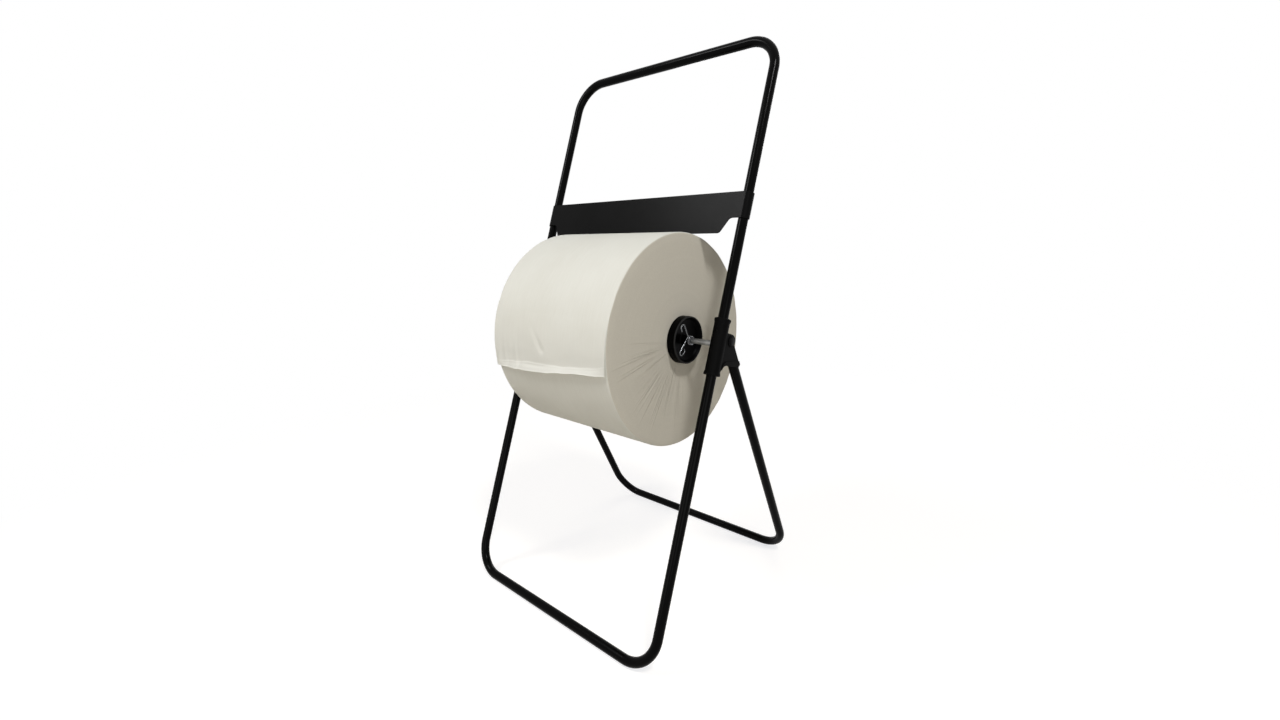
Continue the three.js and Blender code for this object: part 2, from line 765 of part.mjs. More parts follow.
function addRoll() {
  const bore = coreBoreRadius + coreWall + runningGap;
  const inner = -rollHalfWidth;
  const outline = [new THREE.Vector2(bore, inner)];
  const lower = new THREE.Vector2(rollRadius - rollEdgeRound, inner + rollEdgeRound);
  const upper = new THREE.Vector2(rollRadius - rollEdgeRound, rollHalfWidth - rollEdgeRound);
  outline.push(...arcPoints(lower, rollEdgeRound, -Math.PI / 2, 0, rollEdgeSteps));
  outline.push(...arcPoints(upper, rollEdgeRound, 0, Math.PI / 2, rollEdgeSteps));
  outline.push(new THREE.Vector2(bore, rollHalfWidth), outline[0].clone());
  addPiece("paper_roll", aboutX(outline, rollSides, rollCentre), finishes.paper);

  const board = [
    new THREE.Vector2(coreBoreRadius, -rollHalfWidth),
    new THREE.Vector2(coreBoreRadius + coreWall, -rollHalfWidth),
    new THREE.Vector2(coreBoreRadius + coreWall, rollHalfWidth),
    new THREE.Vector2(coreBoreRadius, rollHalfWidth),
  ];
  board.push(board[0].clone());
  addPiece("cardboard_core", aboutX(board, coreSides, rollCentre), finishes.board);
}

// How far the loose end stands off the roll at a share of the way to its free edge
function sheetLift(degrees) {
  const creaseShare = (sheetStartDegrees - degrees) / (sheetStartDegrees - sheetCreaseDegrees);
  if (creaseShare <= 1) {
    return sheetCreaseLift * creaseShare ** 3;
  }
  const endShare = (sheetCreaseDegrees - degrees) / (sheetCreaseDegrees - sheetEndDegrees);
  return sheetCreaseLift + (sheetEndLift - sheetCreaseLift) * endShare;
}

// Turns each point about the roll so that the sheet's edge slants from one end of the roll to the other.
function slantSheet(geometry, halfLength) {
  const place = geometry.attributes.position;
  const start = THREE.MathUtils.degToRad(sheetStartDegrees);
  const end = THREE.MathUtils.degToRad(sheetEndDegrees);
  for (let i = 0; i < place.count; i += 1) {
    const angle = Math.atan2(place.getY(i), -place.getX(i));
    const share = (start - angle) / (start - end);
    const turn = THREE.MathUtils.degToRad(sheetSlantDegrees) * share * (place.getZ(i) / halfLength);
    const radius = Math.hypot(place.getX(i), place.getY(i));
    place.setXY(i, -radius * Math.cos(angle + turn), radius * Math.sin(angle + turn));
  }
}

function addLooseSheet() {
  const near = [];
  const far = [];
  for (let i = 0; i <= sheetSteps; i += 1) {
    const degrees = sheetStartDegrees + ((sheetEndDegrees - sheetStartDegrees) * i) / sheetSteps;
    const angle = THREE.MathUtils.degToRad(degrees);
    const radius = rollRadius + runningGap + sheetLift(degrees);
    const outward = new THREE.Vector2(-Math.cos(angle), Math.sin(angle));
    near.push(outward.clone().multiplyScalar(radius));
    far.push(outward.clone().multiplyScalar(radius + sheetThickness));
  }
  const halfLength = rollHalfWidth - sheetInset;
  const geometry = new THREE.ExtrudeGeometry(shapeOf([...near, ...far.reverse()]), {
    depth: 2 * halfLength,
    steps: sheetCrossSteps,
    bevelEnabled: false,
  });
  geometry.translate(0, 0, -halfLength);
  slantSheet(geometry, halfLength);
  // The outline's x runs to the back and its y runs up, and its depth runs along the roll.
  geometry.applyMatrix4(
    new THREE.Matrix4().makeBasis(new THREE.Vector3(0, 1, 0), new THREE.Vector3(0, 0, 1), xAxis),
  );
  addPiece("loose_sheet", geometry.translate(rollCentre.x, rollCentre.y, rollCentre.z), finishes.paper);
}

// Core plug: a dished flange outside the roll and a hollow spigot inside its core
function plugProfile() {
  const rim = plugBaseGap + plugDepth;
  const floorOuter = plugBaseGap + plugFloorThickness;
  const hubBore = rodRadius + runningGap;
  const points = [
    new THREE.Vector2(hubBore, -spigotLength),
    new THREE.Vector2(plugHubRadius, -spigotLength),
    new THREE.Vector2(plugHubRadius, plugBaseGap),
    new THREE.Vector2(spigotRadius - spigotWall, plugBaseGap),
    new THREE.Vector2(spigotRadius - spigotWall - spigotTaper, -spigotLength),
    new THREE.Vector2(spigotRadius - spigotTaper, -spigotLength),
    new THREE.Vector2(spigotRadius, plugBaseGap),
    new THREE.Vector2(plugRimRadius, plugBaseGap),
    new THREE.Vector2(plugRimRadius - plugSideTaper, rim - plugLipChamfer),
    new THREE.Vector2(plugRimRadius - plugLipChamfer, rim),
    new THREE.Vector2(plugRimRadius - plugWall, rim),
    new THREE.Vector2(plugRimRadius - plugDishBend, floorOuter + plugDishBend),
    new THREE.Vector2(plugDishFloorRadius, floorOuter),
    new THREE.Vector2(plugHubRadius, floorOuter),
    new THREE.Vector2(plugHubRadius, rim - plugHubShort),
    new THREE.Vector2(hubBore, rim - plugHubShort),
  ];
  points.push(points[0].clone());
  return points;
}

// Draws a wire in the plane across the rod, one straight run or bend after another.
class WireTrace {
  constructor(place, degrees) {
    this.place = place.clone();
    this.angle = THREE.MathUtils.degToRad(degrees);
    this.points = [place.clone()];
  }

  run(length) {
    this.place.y += length * Math.cos(this.angle);
    this.place.z += length * Math.sin(this.angle);
    this.points.push(this.place.clone());
  }

  // A positive turn bends to the left of the heading, and climb is the way moved along the rod.
  bend(degrees, radius, steps, climb) {
    const way = Math.sign(degrees);
    const turn = THREE.MathUtils.degToRad(degrees);
    const start = this.place.clone();
    const from = this.angle;
    for (let i = 1; i <= steps; i += 1) {
      const share = i / steps;
      this.angle = from + turn * share;
      this.place.set(
        start.x + climb * share,
        start.y + way * radius * (Math.sin(this.angle) - Math.sin(from)),
        start.z - way * radius * (Math.cos(this.angle) - Math.cos(from)),
      );
      this.points.push(this.place.clone());
    }
  }
}

// Centre line of one spring clip about the rod; the end of its coil next to the plug is at x = 0.
function clipCentreLine() {
  const climb = (coilPitch * coilWoundDegrees) / 360;
  const trace = new WireTrace(new THREE.Vector3(climb, 0, 0), clipUpperDegrees + 180 + hookTurnDegrees);
  trace.run(upperTailLength);
  trace.bend(-hookTurnDegrees, hookRadius, hookSteps, 0);
  trace.run(upperArmLength);
  const coilStart = trace.place.clone();
  const coilAngle = trace.angle;
  trace.bend(coilWoundDegrees, coilRadius, Math.round((coilWoundDegrees / 360) * coilStepsPerTurn), -climb);
  trace.run(lowerArmLength);
  trace.bend(hookTurnDegrees, hookRadius, hookSteps, 0);
  trace.run(lowerTailLength);
  trace.bend(tailCurlDegrees, tailCurlRadius, tailCurlSteps, 0);
  trace.run(tailCurlEnd);
  const shift = new THREE.Vector3(
    0,
    -coilStart.y + coilRadius * Math.sin(coilAngle),
    -coilStart.z - coilRadius * Math.cos(coilAngle),
  );
  return trace.points.map((point) => point.clone().add(shift));
}

function pathAlong(points) {
  const tangents = points.map((point, i) => {
    const before = points[Math.max(i - 1, 0)];
    const after = points[Math.min(i + 1, points.length - 1)];
    return after.clone().sub(before).normalize();
  });
  return new StationPath(points, tangents);
}

// Least distance between stretches of the wire that aren't next to each other, less its thickness
function leastSelfGap(points) {
  const fine = [];
  const places = [];
  let run = 0;
  const stepLength = wireRadius / 4;
  for (let i = 0; i + 1 < points.length; i += 1) {
    const length = points[i].distanceTo(points[i + 1]);
    const count = Math.ceil(length / stepLength);
    for (let k = 0; k < count; k += 1) {
      fine.push(points[i].clone().lerp(points[i + 1], k / count));
      places.push(run + (length * k) / count);
    }
    run += length;
  }
  let least = Infinity;
  for (let i = 0; i < fine.length; i += 1) {
    for (let k = i + 1; k < fine.length; k += 1) {
      if (places[k] - places[i] > Math.PI * hookRadius) {
        least = Math.min(least, fine[i].distanceTo(fine[k]));
      }
    }
  }
  return least - 2 * wireRadius;
}

function addPlugsAndClips() {
  const wire = shapeOf(ringPoints(wireRadius, wireSides, 0));
  const line = clipCentreLine();
  console.log("spring clip: least gap to itself, mm:", leastSelfGap(line).toFixed(2));
  for (const { word, side } of sides) {
    const face = rollCentreX + side * rollHalfWidth;
    const plug = new THREE.LatheGeometry(plugProfile(), plugSides).rotateZ(-Math.PI / 2);
    plug.scale(side, 1, 1).translate(face, spindleCentre.y, spindleCentre.z);
    addPiece(`${word}_core_plug`, plug, finishes.blackPlastic);
    const hubEnd = plugBaseGap + plugDepth - plugHubShort;
    const clip = sweep(wire, pathAlong(line)).translate(hubEnd + runningGap + wireRadius, 0, 0);
    clip.scale(side, 1, 1).translate(face, spindleCentre.y, spindleCentre.z);
    addPiece(`${word}_spring_clip`, clip, finishes.zinc);
  }
}

// Puts the middle of the part's footprint at the origin.
function centreOnFloor() {
  const box = new THREE.Box3().setFromObject(part, true);
  const middle = box.getCenter(new THREE.Vector3());
  for (const piece of part.children) {
    piece.geometry.translate(-middle.x, -middle.y, -box.min.z);
  }
  const shift = new THREE.Vector3(-middle.x, -middle.y, -box.min.z);
  const metres = (point) => point.clone().add(shift).divideScalar(1000).toArray().map((v) => v.toFixed(5));
  console.log("size, mm:", box.getSize(new THREE.Vector3()).toArray().map((v) => v.toFixed(2)).join(" x "));
  console.log("hinge centre, m:", metres(hingeCentre).join(" "));
  console.log("spindle centre, m:", metres(spindleCentre).join(" "));
  console.log("roll centre, m:", metres(rollCentre).join(" "));
  console.log("rear foot, m:", metres(rearFoot).join(" "));
  console.log("leg angle, degrees:", THREE.MathUtils.radToDeg(legAngle).toFixed(2));
}

addUpperHoop();
addLowerHoop();
addRearHoop();
addBrackets();
addTearPlate();
addSpindle();
addRoll();
addLooseSheet();
addPlugsAndClips();
centreOnFloor();

export default part;
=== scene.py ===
import math

import bpy
from mathutils import Matrix, Vector, noise


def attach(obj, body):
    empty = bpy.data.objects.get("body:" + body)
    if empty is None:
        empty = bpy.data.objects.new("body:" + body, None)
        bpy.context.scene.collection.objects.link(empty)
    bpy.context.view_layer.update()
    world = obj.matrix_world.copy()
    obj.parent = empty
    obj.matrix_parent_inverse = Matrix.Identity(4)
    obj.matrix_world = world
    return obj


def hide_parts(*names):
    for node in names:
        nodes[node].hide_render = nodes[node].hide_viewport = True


# Folding floor stand with a jumbo wiper roll. Metres, +Z up, the front faces -Y.
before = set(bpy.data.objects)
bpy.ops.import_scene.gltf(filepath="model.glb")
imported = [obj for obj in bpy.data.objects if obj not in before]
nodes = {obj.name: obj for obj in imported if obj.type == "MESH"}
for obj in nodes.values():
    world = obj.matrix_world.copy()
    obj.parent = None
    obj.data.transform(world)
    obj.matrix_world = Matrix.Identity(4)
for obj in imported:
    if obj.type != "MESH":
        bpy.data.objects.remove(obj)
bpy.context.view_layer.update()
print("frame loaded:", len(nodes), "nodes")

camera = dict(
    place=(0.62969, -0.66876, 0.61257),
    turnLeft=41.681,
    lookDown=13.796,
    roll=-2.144,
    lens=15.453,
    sensor=36,
    near=0.01,
)

# The front frame leans back from its foot bar; the rear stand is hinged behind it.
stand = dict(
    lean=21.2,
    halfSpan=0.2075,
    footPlace=(0.0, -0.1975, 0.0074077),
    rearFoot=(0.0, 0.1975, 0.0074077),
    hinge=(0.0, -0.00712, 0.44626),
    rod=(0.0, -0.02772, 0.44513),
)
rollCentre = Vector((0.0203, -0.02772, 0.44163))


def addCamera():
    turn = (
        Matrix.Rotation(math.radians(camera["turnLeft"]), 3, "Z")
        @ Matrix.Rotation(math.radians(90 - camera["lookDown"]), 3, "X")
        @ Matrix.Rotation(math.radians(camera["roll"]), 3, "Z")
    )
    bpy.ops.object.camera_add(location=camera["place"], rotation=turn.to_euler())
    eye = bpy.context.object
    eye.name = "camera"
    eye.data.sensor_width = camera["sensor"]
    eye.data.lens = camera["lens"]
    eye.data.clip_start = camera["near"]
    bpy.context.scene.camera = eye


addCamera()


# Edit helpers

merge = dict(coarse=1e-5, fine=1e-6, copied=2e-6, flatDegrees=0.4)
shading = dict(usual=35, tube=40, roll=50, flap=60, plug=40, wire=50)


def deselectAll():
    if bpy.context.object and bpy.context.object.mode == "EDIT":
        bpy.ops.object.mode_set(mode="OBJECT")
    bpy.ops.object.select_all(action="DESELECT")


def pick(piece):
    deselectAll()
    piece.select_set(True)
    bpy.context.view_layer.objects.active = piece


def editAll(piece):
    pick(piece)
    bpy.ops.object.mode_set(mode="EDIT")
    bpy.ops.mesh.select_mode(type="VERT")
    bpy.ops.mesh.select_all(action="SELECT")


def leaveEdit():
    bpy.ops.object.mode_set(mode="OBJECT")


def selectWhere(piece, test):
    bpy.ops.mesh.select_all(action="DESELECT")
    leaveEdit()
    for vertex in piece.data.vertices:
        vertex.select = test(vertex.co)
    bpy.ops.object.mode_set(mode="EDIT")


def cleanMesh(piece, reach=merge["coarse"]):
    editAll(piece)
    bpy.ops.mesh.remove_doubles(threshold=reach)
    bpy.ops.mesh.normals_make_consistent(inside=False)
    leaveEdit()


def applyModifiers(piece):
    pick(piece)
    for modifier in list(piece.modifiers):
        bpy.ops.object.modifier_apply(modifier=modifier.name)


def smooth(piece, degrees=shading["usual"]):
    pick(piece)
    bpy.ops.object.shade_smooth_by_angle(angle=math.radians(degrees))


def bevelEdges(piece, width, segments, degrees):
    edge = piece.modifiers.new("edge", "BEVEL")
    edge.width = width
    edge.segments = segments
    edge.limit_method = "ANGLE"
    edge.angle_limit = math.radians(degrees)
    return edge


def drawLine(name, points):
    # a small plane merged to its middle starts the line, and each corner is pulled out of the last
    deselectAll()
    bpy.ops.mesh.primitive_plane_add(size=0.01, location=(0, 0, 0))
    piece = bpy.context.object
    piece.name = name
    editAll(piece)
    bpy.ops.mesh.merge(type="CENTER")
    bpy.ops.transform.translate(value=points[0])
    for before, after in zip(points, points[1:]):
        bpy.ops.mesh.extrude_vertices_move(TRANSFORM_OT_translate={"value": after - before})
    return piece


def spinOutline(name, outline, centre, steps):
    # outline is (distance from the axis, place along X) all round; it is spun about the X axis
    points = [centre + Vector((along, 0, away)) for away, along in outline]
    piece = drawLine(name, points + [points[0]])
    editAll(piece)
    bpy.ops.mesh.remove_doubles(threshold=merge["fine"])
    bpy.ops.mesh.select_all(action="SELECT")
    bpy.ops.mesh.spin(steps=steps, angle=math.tau, center=centre, axis=(1, 0, 0))
    leaveEdit()
    cleanMesh(piece, merge["fine"])
    return piece


def copyOf(node, name, bevel):
    # a merged copy of the CAD solid with its edges softened
    piece = bpy.data.objects.new(name, nodes[node].data.copy())
    bpy.context.scene.collection.objects.link(piece)
    piece.data.materials.clear()
    editAll(piece)
    bpy.ops.mesh.customdata_custom_splitnormals_clear()
    bpy.ops.mesh.remove_doubles(threshold=merge["copied"])
    bpy.ops.mesh.dissolve_limited(angle_limit=math.radians(merge["flatDegrees"]))
    leaveEdit()
    edge = bevelEdges(piece, bevel, edges["segments"], edges["sharperThan"])
    edge.use_clamp_overlap = True
    edge.miter_outer = "MITER_ARC"
    applyModifiers(piece)
    smooth(piece)
    # flat faces keep their own direction beside the softened edges
    flat = piece.modifiers.new("flat", "WEIGHTED_NORMAL")
    flat.weight = edges["flatWeight"]
    flat.keep_sharp = True
    applyModifiers(piece)
    return piece


def place(piece, finish, body, slot, *replaced):
    piece.data.materials.clear()
    piece.data.materials.append(finish)
    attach(piece, body)
    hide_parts(*replaced)


# Finish helpers. A grain is given as scale, detail and roughness.

def startFinish(name, look):
    finish = bpy.data.materials.new(name)
    finish.use_nodes = True
    shader = finish.node_tree.nodes["Principled BSDF"]
    shader.inputs["Base Color"].default_value = (*look["colour"], 1)
    shader.inputs["Roughness"].default_value = look["gloss"]
    shader.inputs["Metallic"].default_value = look.get("metallic", 0.0)
    shader.inputs["Specular IOR Level"].default_value = look.get("specular", 0.5)
    return finish, finish.node_tree, shader


def addNode(tree, kind, inputs=None, **settings):
    node = tree.nodes.new(kind)
    for key, value in settings.items():
        setattr(node, key, value)
    for key, value in (inputs or {}).items():
        if isinstance(value, bpy.types.NodeSocket):
            tree.links.new(value, node.inputs[key])
        else:
            node.inputs[key].default_value = value
    return node


def objectPlace(tree, scale=(1, 1, 1), location=(0, 0, 0)):
    texture = addNode(tree, "ShaderNodeTexCoord")
    inputs = {"Vector": texture.outputs["Object"], "Scale": scale, "Location": location}
    return addNode(tree, "ShaderNodeMapping", inputs).outputs["Vector"]


def partOf(tree, vector, letter):
    return addNode(tree, "ShaderNodeSeparateXYZ", {"Vector": vector}).outputs[letter]


def lengthOf(tree, vector):
    return addNode(tree, "ShaderNodeVectorMath", {0: vector}, operation="LENGTH").outputs["Value"]


def grain(tree, vector, scale, detail, roughness=0.5):
    inputs = {"Vector": vector, "Scale": scale, "Detail": detail, "Roughness": roughness}
    return addNode(tree, "ShaderNodeTexNoise", inputs).outputs["Fac"]


def spread(tree, value, low, high, toLow=0.0, toHigh=1.0):
    inputs = {"Value": value, "From Min": low, "From Max": high, "To Min": toLow, "To Max": toHigh}
    return addNode(tree, "ShaderNodeMapRange", inputs).outputs["Result"]


def blendColour(tree, share, first, second):
    # first is a colour or the output of another blend
    if not isinstance(first, bpy.types.NodeSocket):
        first = (*first, 1)
    inputs = {0: share, 6: first, 7: (*second, 1)}
    return addNode(tree, "ShaderNodeMix", inputs, data_type="RGBA").outputs[2]


def maths(tree, kind, first, second=0.0):
    return addNode(tree, "ShaderNodeMath", {0: first, 1: second}, operation=kind).outputs[0]


def times(tree, first, *others):
    for other in others:
        first = maths(tree, "MULTIPLY", first, other)
    return first


def relief(tree, shader, height, distance, strength=1.0, under=None):
    inputs = {"Height": height, "Distance": distance, "Strength": strength}
    if under:
        inputs["Normal"] = under.outputs["Normal"]
    bump = addNode(tree, "ShaderNodeBump", inputs)
    tree.links.new(bump.outputs["Normal"], shader.inputs["Normal"])
    return bump


tubeLook = dict(
    colour=(0.0012, 0.0012, 0.0012),
    gloss=0.17,
    specular=0.042,
    peel=(420, 2.0),
    peelRelief=0.000015,
    cloud=(26, 4.0),
    cloudGloss=(0.3, 0.7, 0.14, 0.2),
    scuffColour=(0.05, 0.047, 0.043),
    scuffHeights=(0.0035, 0.0012),
    scuff=(160, 6.0, 0.7),
    scuffRange=(0.42, 0.6),
    scuffGloss=0.35,
)


def tubePaint():
    # baked black enamel: nearly smooth, with a fine orange peel and scuffs where the bars meet the floor
    look = tubeLook
    finish, tree, shader = startFinish("tubePaint", look)
    vector = objectPlace(tree)
    low = spread(tree, partOf(tree, vector, "Z"), *look["scuffHeights"])
    patches = spread(tree, grain(tree, vector, *look["scuff"]), *look["scuffRange"])
    scuff = times(tree, low, patches)
    colour = blendColour(tree, scuff, look["colour"], look["scuffColour"])
    tree.links.new(colour, shader.inputs["Base Color"])
    cloud = spread(tree, grain(tree, vector, *look["cloud"]), *look["cloudGloss"])
    rough = maths(tree, "ADD", cloud, times(tree, scuff, look["scuffGloss"]))
    tree.links.new(rough, shader.inputs["Roughness"])
    relief(tree, shader, grain(tree, vector, *look["peel"]), look["peelRelief"])
    return finish


# Finishes whose colour and gloss wander with a soft cloud. The fine grain makes the relief, or the cloud
# where there is none; glossFromFine lets the grain drive the gloss too.
cloudedLooks = dict(
    # satin powder coat on flat sheet
    platePaint=dict(
        colour=(0.003, 0.003, 0.003),
        gloss=0.28,
        specular=0.04,
        cloud=(18, 4.0),
        cloudRange=(0.25, 0.75),
        dark=(0.0024, 0.0024, 0.0024),
        light=(0.0034, 0.0034, 0.0034),
        glossRange=(0.27, 0.3),
        fine=(900, 3.0, 0.6),
        relief=(0.000012, 1.0),
    ),
    # glass-filled nylon: fine spark-eroded grain, a little dust in it
    mouldedBlack=dict(
        colour=(0.0018, 0.0018, 0.0018),
        gloss=0.5,
        specular=0.035,
        cloud=(60, 5.0, 0.6),
        cloudRange=(0.35, 0.7),
        dark=(0.0013, 0.0013, 0.0013),
        light=(0.0026, 0.0026, 0.0026),
        glossRange=(0.44, 0.6),
        glossFromFine=True,
        fine=(1400, 4.0, 0.65),
        relief=(0.00009, 0.8),
    ),
    # deep black plastic, smoother than the brackets, with a painted highlight: a paler band of colour on
    # the outer lip of its face
    plugPlastic=dict(
        colour=(0.001, 0.001, 0.001),
        gloss=0.34,
        specular=0.022,
        cloud=(70, 5.0, 0.6),
        cloudRange=(0.35, 0.7),
        dark=(0.0007, 0.0007, 0.0007),
        light=(0.0016, 0.0016, 0.0016),
        glossRange=(0.3, 0.38),
        fine=(1100, 4.0, 0.6),
        relief=(0.00002, 1.0),
        # painted highlight: the lip's paler colour stands in for the shine along it
        lip=dict(
            colour=(0.03, 0.03, 0.0295),
            awayFromRod=(0.0331, 0.0335),
            alongRod=(0.1351, 0.1356),
            uneven=(0.25, 0.55, 0.5, 1.0),
        ),
    ),
    # bright zinc on drawn bar: fine lines round it and a cloudy tarnish
    zincPlate=dict(
        colour=(0.25, 0.255, 0.26),
        gloss=0.3,
        metallic=1.0,
        cloud=(90, 5.0, 0.6),
        cloudRange=(0.3, 0.7),
        dark=(0.17, 0.176, 0.185),
        light=(0.3, 0.305, 0.3),
        glossRange=(0.26, 0.42),
        fine=(2600, 3.0, 0.6),
        stretch=(0.02, 1, 1),
        relief=(0.00003, 1.0),
    ),
    springWire=dict(
        colour=(0.3, 0.305, 0.31),
        gloss=0.24,
        metallic=1.0,
        cloud=(320, 5.0, 0.6),
        cloudRange=(0.3, 0.7),
        dark=(0.12, 0.124, 0.132),
        light=(0.2, 0.205, 0.21),
        glossRange=(0.2, 0.3),
        relief=(0.00002, 1.0),
    ),
    blackedScrew=dict(
        colour=(0.006, 0.006, 0.0065),
        gloss=0.4,
        metallic=0.6,
        specular=0.06,
        cloud=(700, 5.0, 0.6),
        cloudRange=(0.35, 0.7),
        dark=(0.004, 0.004, 0.0044),
        light=(0.011, 0.0108, 0.0105),
        glossRange=(0.32, 0.5),
        relief=(0.00003, 1.0),
    ),
)
cloudMiddle = (0.3, 0.7)


def paintedLipHighlight(tree, lip, body, cloud):
    # a painted highlight on the outer ring of the plugs' faces, paler in uneven patches
    across = objectPlace(tree, (0, 1, 1), (0, -stand["rod"][1], -stand["rod"][2]))
    away = spread(tree, lengthOf(tree, across), *lip["awayFromRod"])
    level = partOf(tree, objectPlace(tree, location=(-rollCentre.x, 0, 0)), "X")
    top = spread(tree, maths(tree, "ABSOLUTE", level), *lip["alongRod"])
    lipHighlightShare = times(tree, away, top, spread(tree, cloud, *lip["uneven"]))
    return blendColour(tree, lipHighlightShare, body, lip["colour"])


def cloudedFinish(name):
    look = cloudedLooks[name]
    finish, tree, shader = startFinish(name, look)
    cloud = grain(tree, objectPlace(tree), *look["cloud"])
    fine = cloud
    if "fine" in look:
        fine = grain(tree, objectPlace(tree, look.get("stretch", (1, 1, 1))), *look["fine"])
    colour = blendColour(tree, spread(tree, cloud, *look["cloudRange"]), look["dark"], look["light"])
    # the paler lip is a painted highlight
    if "lip" in look:
        colour = paintedLipHighlight(tree, look["lip"], colour, cloud)
    tree.links.new(colour, shader.inputs["Base Color"])
    driver = fine if look.get("glossFromFine") else cloud
    tree.links.new(spread(tree, driver, *cloudMiddle, *look["glossRange"]), shader.inputs["Roughness"])
    relief(tree, shader, fine, *look["relief"])
    return finish


paperLook = dict(
    colour=(0.77, 0.765, 0.7),
    dark=(0.725, 0.715, 0.645),
    gloss=0.92,
    specular=0.15,
    sheen=0.12,
    sheenRoughness=0.6,
    crepe=(620, 4.0, 0.62),
    crepeStretch=(1, 0.06, 0.06),
    crepeRelief=(0.00022, 0.7),
    wide=(60, 3.0, 0.55),
    wideStretch=(1, 0.12, 0.12),
    wideRelief=(0.0006, 0.5),
    nap=(1500, 3.0, 0.6),
    napRelief=(0.00012, 0.6),
    cloud=(9, 3.0),
    cloudShare=0.6,
    crepeShare=0.4,
    toneRange=(0.36, 0.62),
    freeEndHighlight=(0.785, 0.78, 0.722),
    freeEndHighlightHeights=(0.04, -0.025),
)


def paperFace(name, hasFreeEnd=False):
    # creped wiper paper: soft lines round the roll and a fine nap, and on the loose sheet a painted
    # highlight that makes it paler towards its free edge
    look = paperLook
    finish, tree, shader = startFinish(name, look)
    shader.inputs["Sheen Weight"].default_value = look["sheen"]
    shader.inputs["Sheen Roughness"].default_value = look["sheenRoughness"]
    centre = tuple(-c for c in rollCentre)
    vector = objectPlace(tree, location=centre)
    crepe = grain(tree, objectPlace(tree, look["crepeStretch"], centre), *look["crepe"])
    wide = grain(tree, objectPlace(tree, look["wideStretch"], centre), *look["wide"])
    nap = grain(tree, vector, *look["nap"])
    cloud = times(tree, grain(tree, vector, *look["cloud"]), look["cloudShare"])
    tone = maths(tree, "ADD", cloud, times(tree, crepe, look["crepeShare"]))
    colour = blendColour(tree, spread(tree, tone, *look["toneRange"]), look["dark"], look["colour"])
    # painted highlight: the lower part of the loose sheet, its lifted band, is made paler
    if hasFreeEnd:
        end = spread(tree, partOf(tree, vector, "Z"), *look["freeEndHighlightHeights"])
        colour = blendColour(tree, end, colour, look["freeEndHighlight"])
    tree.links.new(colour, shader.inputs["Base Color"])
    low = relief(tree, shader, wide, *look["wideRelief"])
    middle = relief(tree, shader, crepe, *look["crepeRelief"], low)
    relief(tree, shader, nap, *look["napRelief"], middle)
    return finish


endLook = dict(
    # darker and warmer than the paper's face: partly the cut edges' own colour, partly painted shade
    colour=(0.70, 0.66, 0.565),
    dark=(0.63, 0.59, 0.50),
    gloss=0.95,
    specular=0.1,
    fineRings=(1500, 2.0, 0.6),
    fineRingRelief=(0.0001, 0.4),
    wideRings=(150, 3.0, 0.6),
    ringShare=0.2,
    nap=(1300, 3.0, 0.6),
    napShare=0.8,
    napRelief=(0.00014, 0.6),
    toneRange=(0.35, 0.65),
    rays=(24, 0.0),
    rayMiddle=0.5,
    rayHalfWidth=0.06,
    rayRelief=(0.001, 1.0),
    bundles=(6, 1.0),
    bundleRange=(0.4, 0.56),
    toward=(0, -0.79, -0.61),
    towardRange=(0.5, 0.9),
    ends=(15, 1.0),
    endsRange=(0.3, 0.7, -0.035, 0.035),
    inner=(0.03, 0.075),
    outer=(0.14, 0.08),
)


def paperEnd():
    # the cut edges of hundreds of turns: rings that differ a little, and creases that run out from the
    # core. Their colour is darker and warmer than the face's: partly the cut edges' own colour, partly
    # painted shade
    look = endLook
    finish, tree, shader = startFinish("paperEnd", look)
    across = objectPlace(tree, (0, 1, 1), (0, -rollCentre.y, -rollCentre.z))
    far = lengthOf(tree, across)
    outward = addNode(tree, "ShaderNodeVectorMath", {0: across}, operation="NORMALIZE").outputs["Vector"]
    ringVector = addNode(tree, "ShaderNodeCombineXYZ", {"X": far}).outputs["Vector"]
    fineRings = grain(tree, ringVector, *look["fineRings"])
    wideRings = grain(tree, ringVector, *look["wideRings"])
    # thin folds run straight out in bundles, on the side where the turns have slipped
    rays = maths(tree, "SUBTRACT", grain(tree, outward, *look["rays"]), look["rayMiddle"])
    thin = spread(tree, maths(tree, "ABSOLUTE", rays), 0.0, look["rayHalfWidth"], 1.0, 0.0)
    bundles = spread(tree, grain(tree, outward, *look["bundles"]), *look["bundleRange"])
    inputs = {0: outward, 1: look["toward"]}
    toward = addNode(tree, "ShaderNodeVectorMath", inputs, operation="DOT_PRODUCT").outputs["Value"]
    ends = spread(tree, grain(tree, outward, *look["ends"]), *look["endsRange"])
    uneven = maths(tree, "ADD", far, ends)
    reach = times(tree, spread(tree, uneven, *look["inner"]), spread(tree, uneven, *look["outer"]))
    where = times(tree, times(tree, spread(tree, toward, *look["towardRange"]), bundles), reach)
    raised = times(tree, thin, where)
    nap = grain(tree, objectPlace(tree), *look["nap"])
    tone = maths(tree, "ADD", times(tree, wideRings, look["ringShare"]), times(tree, nap, look["napShare"]))
    colour = blendColour(tree, spread(tree, tone, *look["toneRange"]), look["dark"], look["colour"])
    tree.links.new(colour, shader.inputs["Base Color"])
    low = relief(tree, shader, raised, *look["rayRelief"])
    middle = relief(tree, shader, fineRings, *look["fineRingRelief"], low)
    relief(tree, shader, nap, *look["napRelief"], middle)
    return finish


boardLook = dict(
    colour=(0.36, 0.27, 0.18),
    gloss=0.9,
    specular=0.15,
    flecks=(900, 5.0, 0.7),
    fleckRange=(0.3, 0.7),
    fleckRelief=0.3,
    dark=(0.29, 0.21, 0.14),
    light=(0.42, 0.32, 0.22),
    turnsPerMetre=12.0,
    seamShare=0.02,
    relief=(0.0003, 0.7),
)


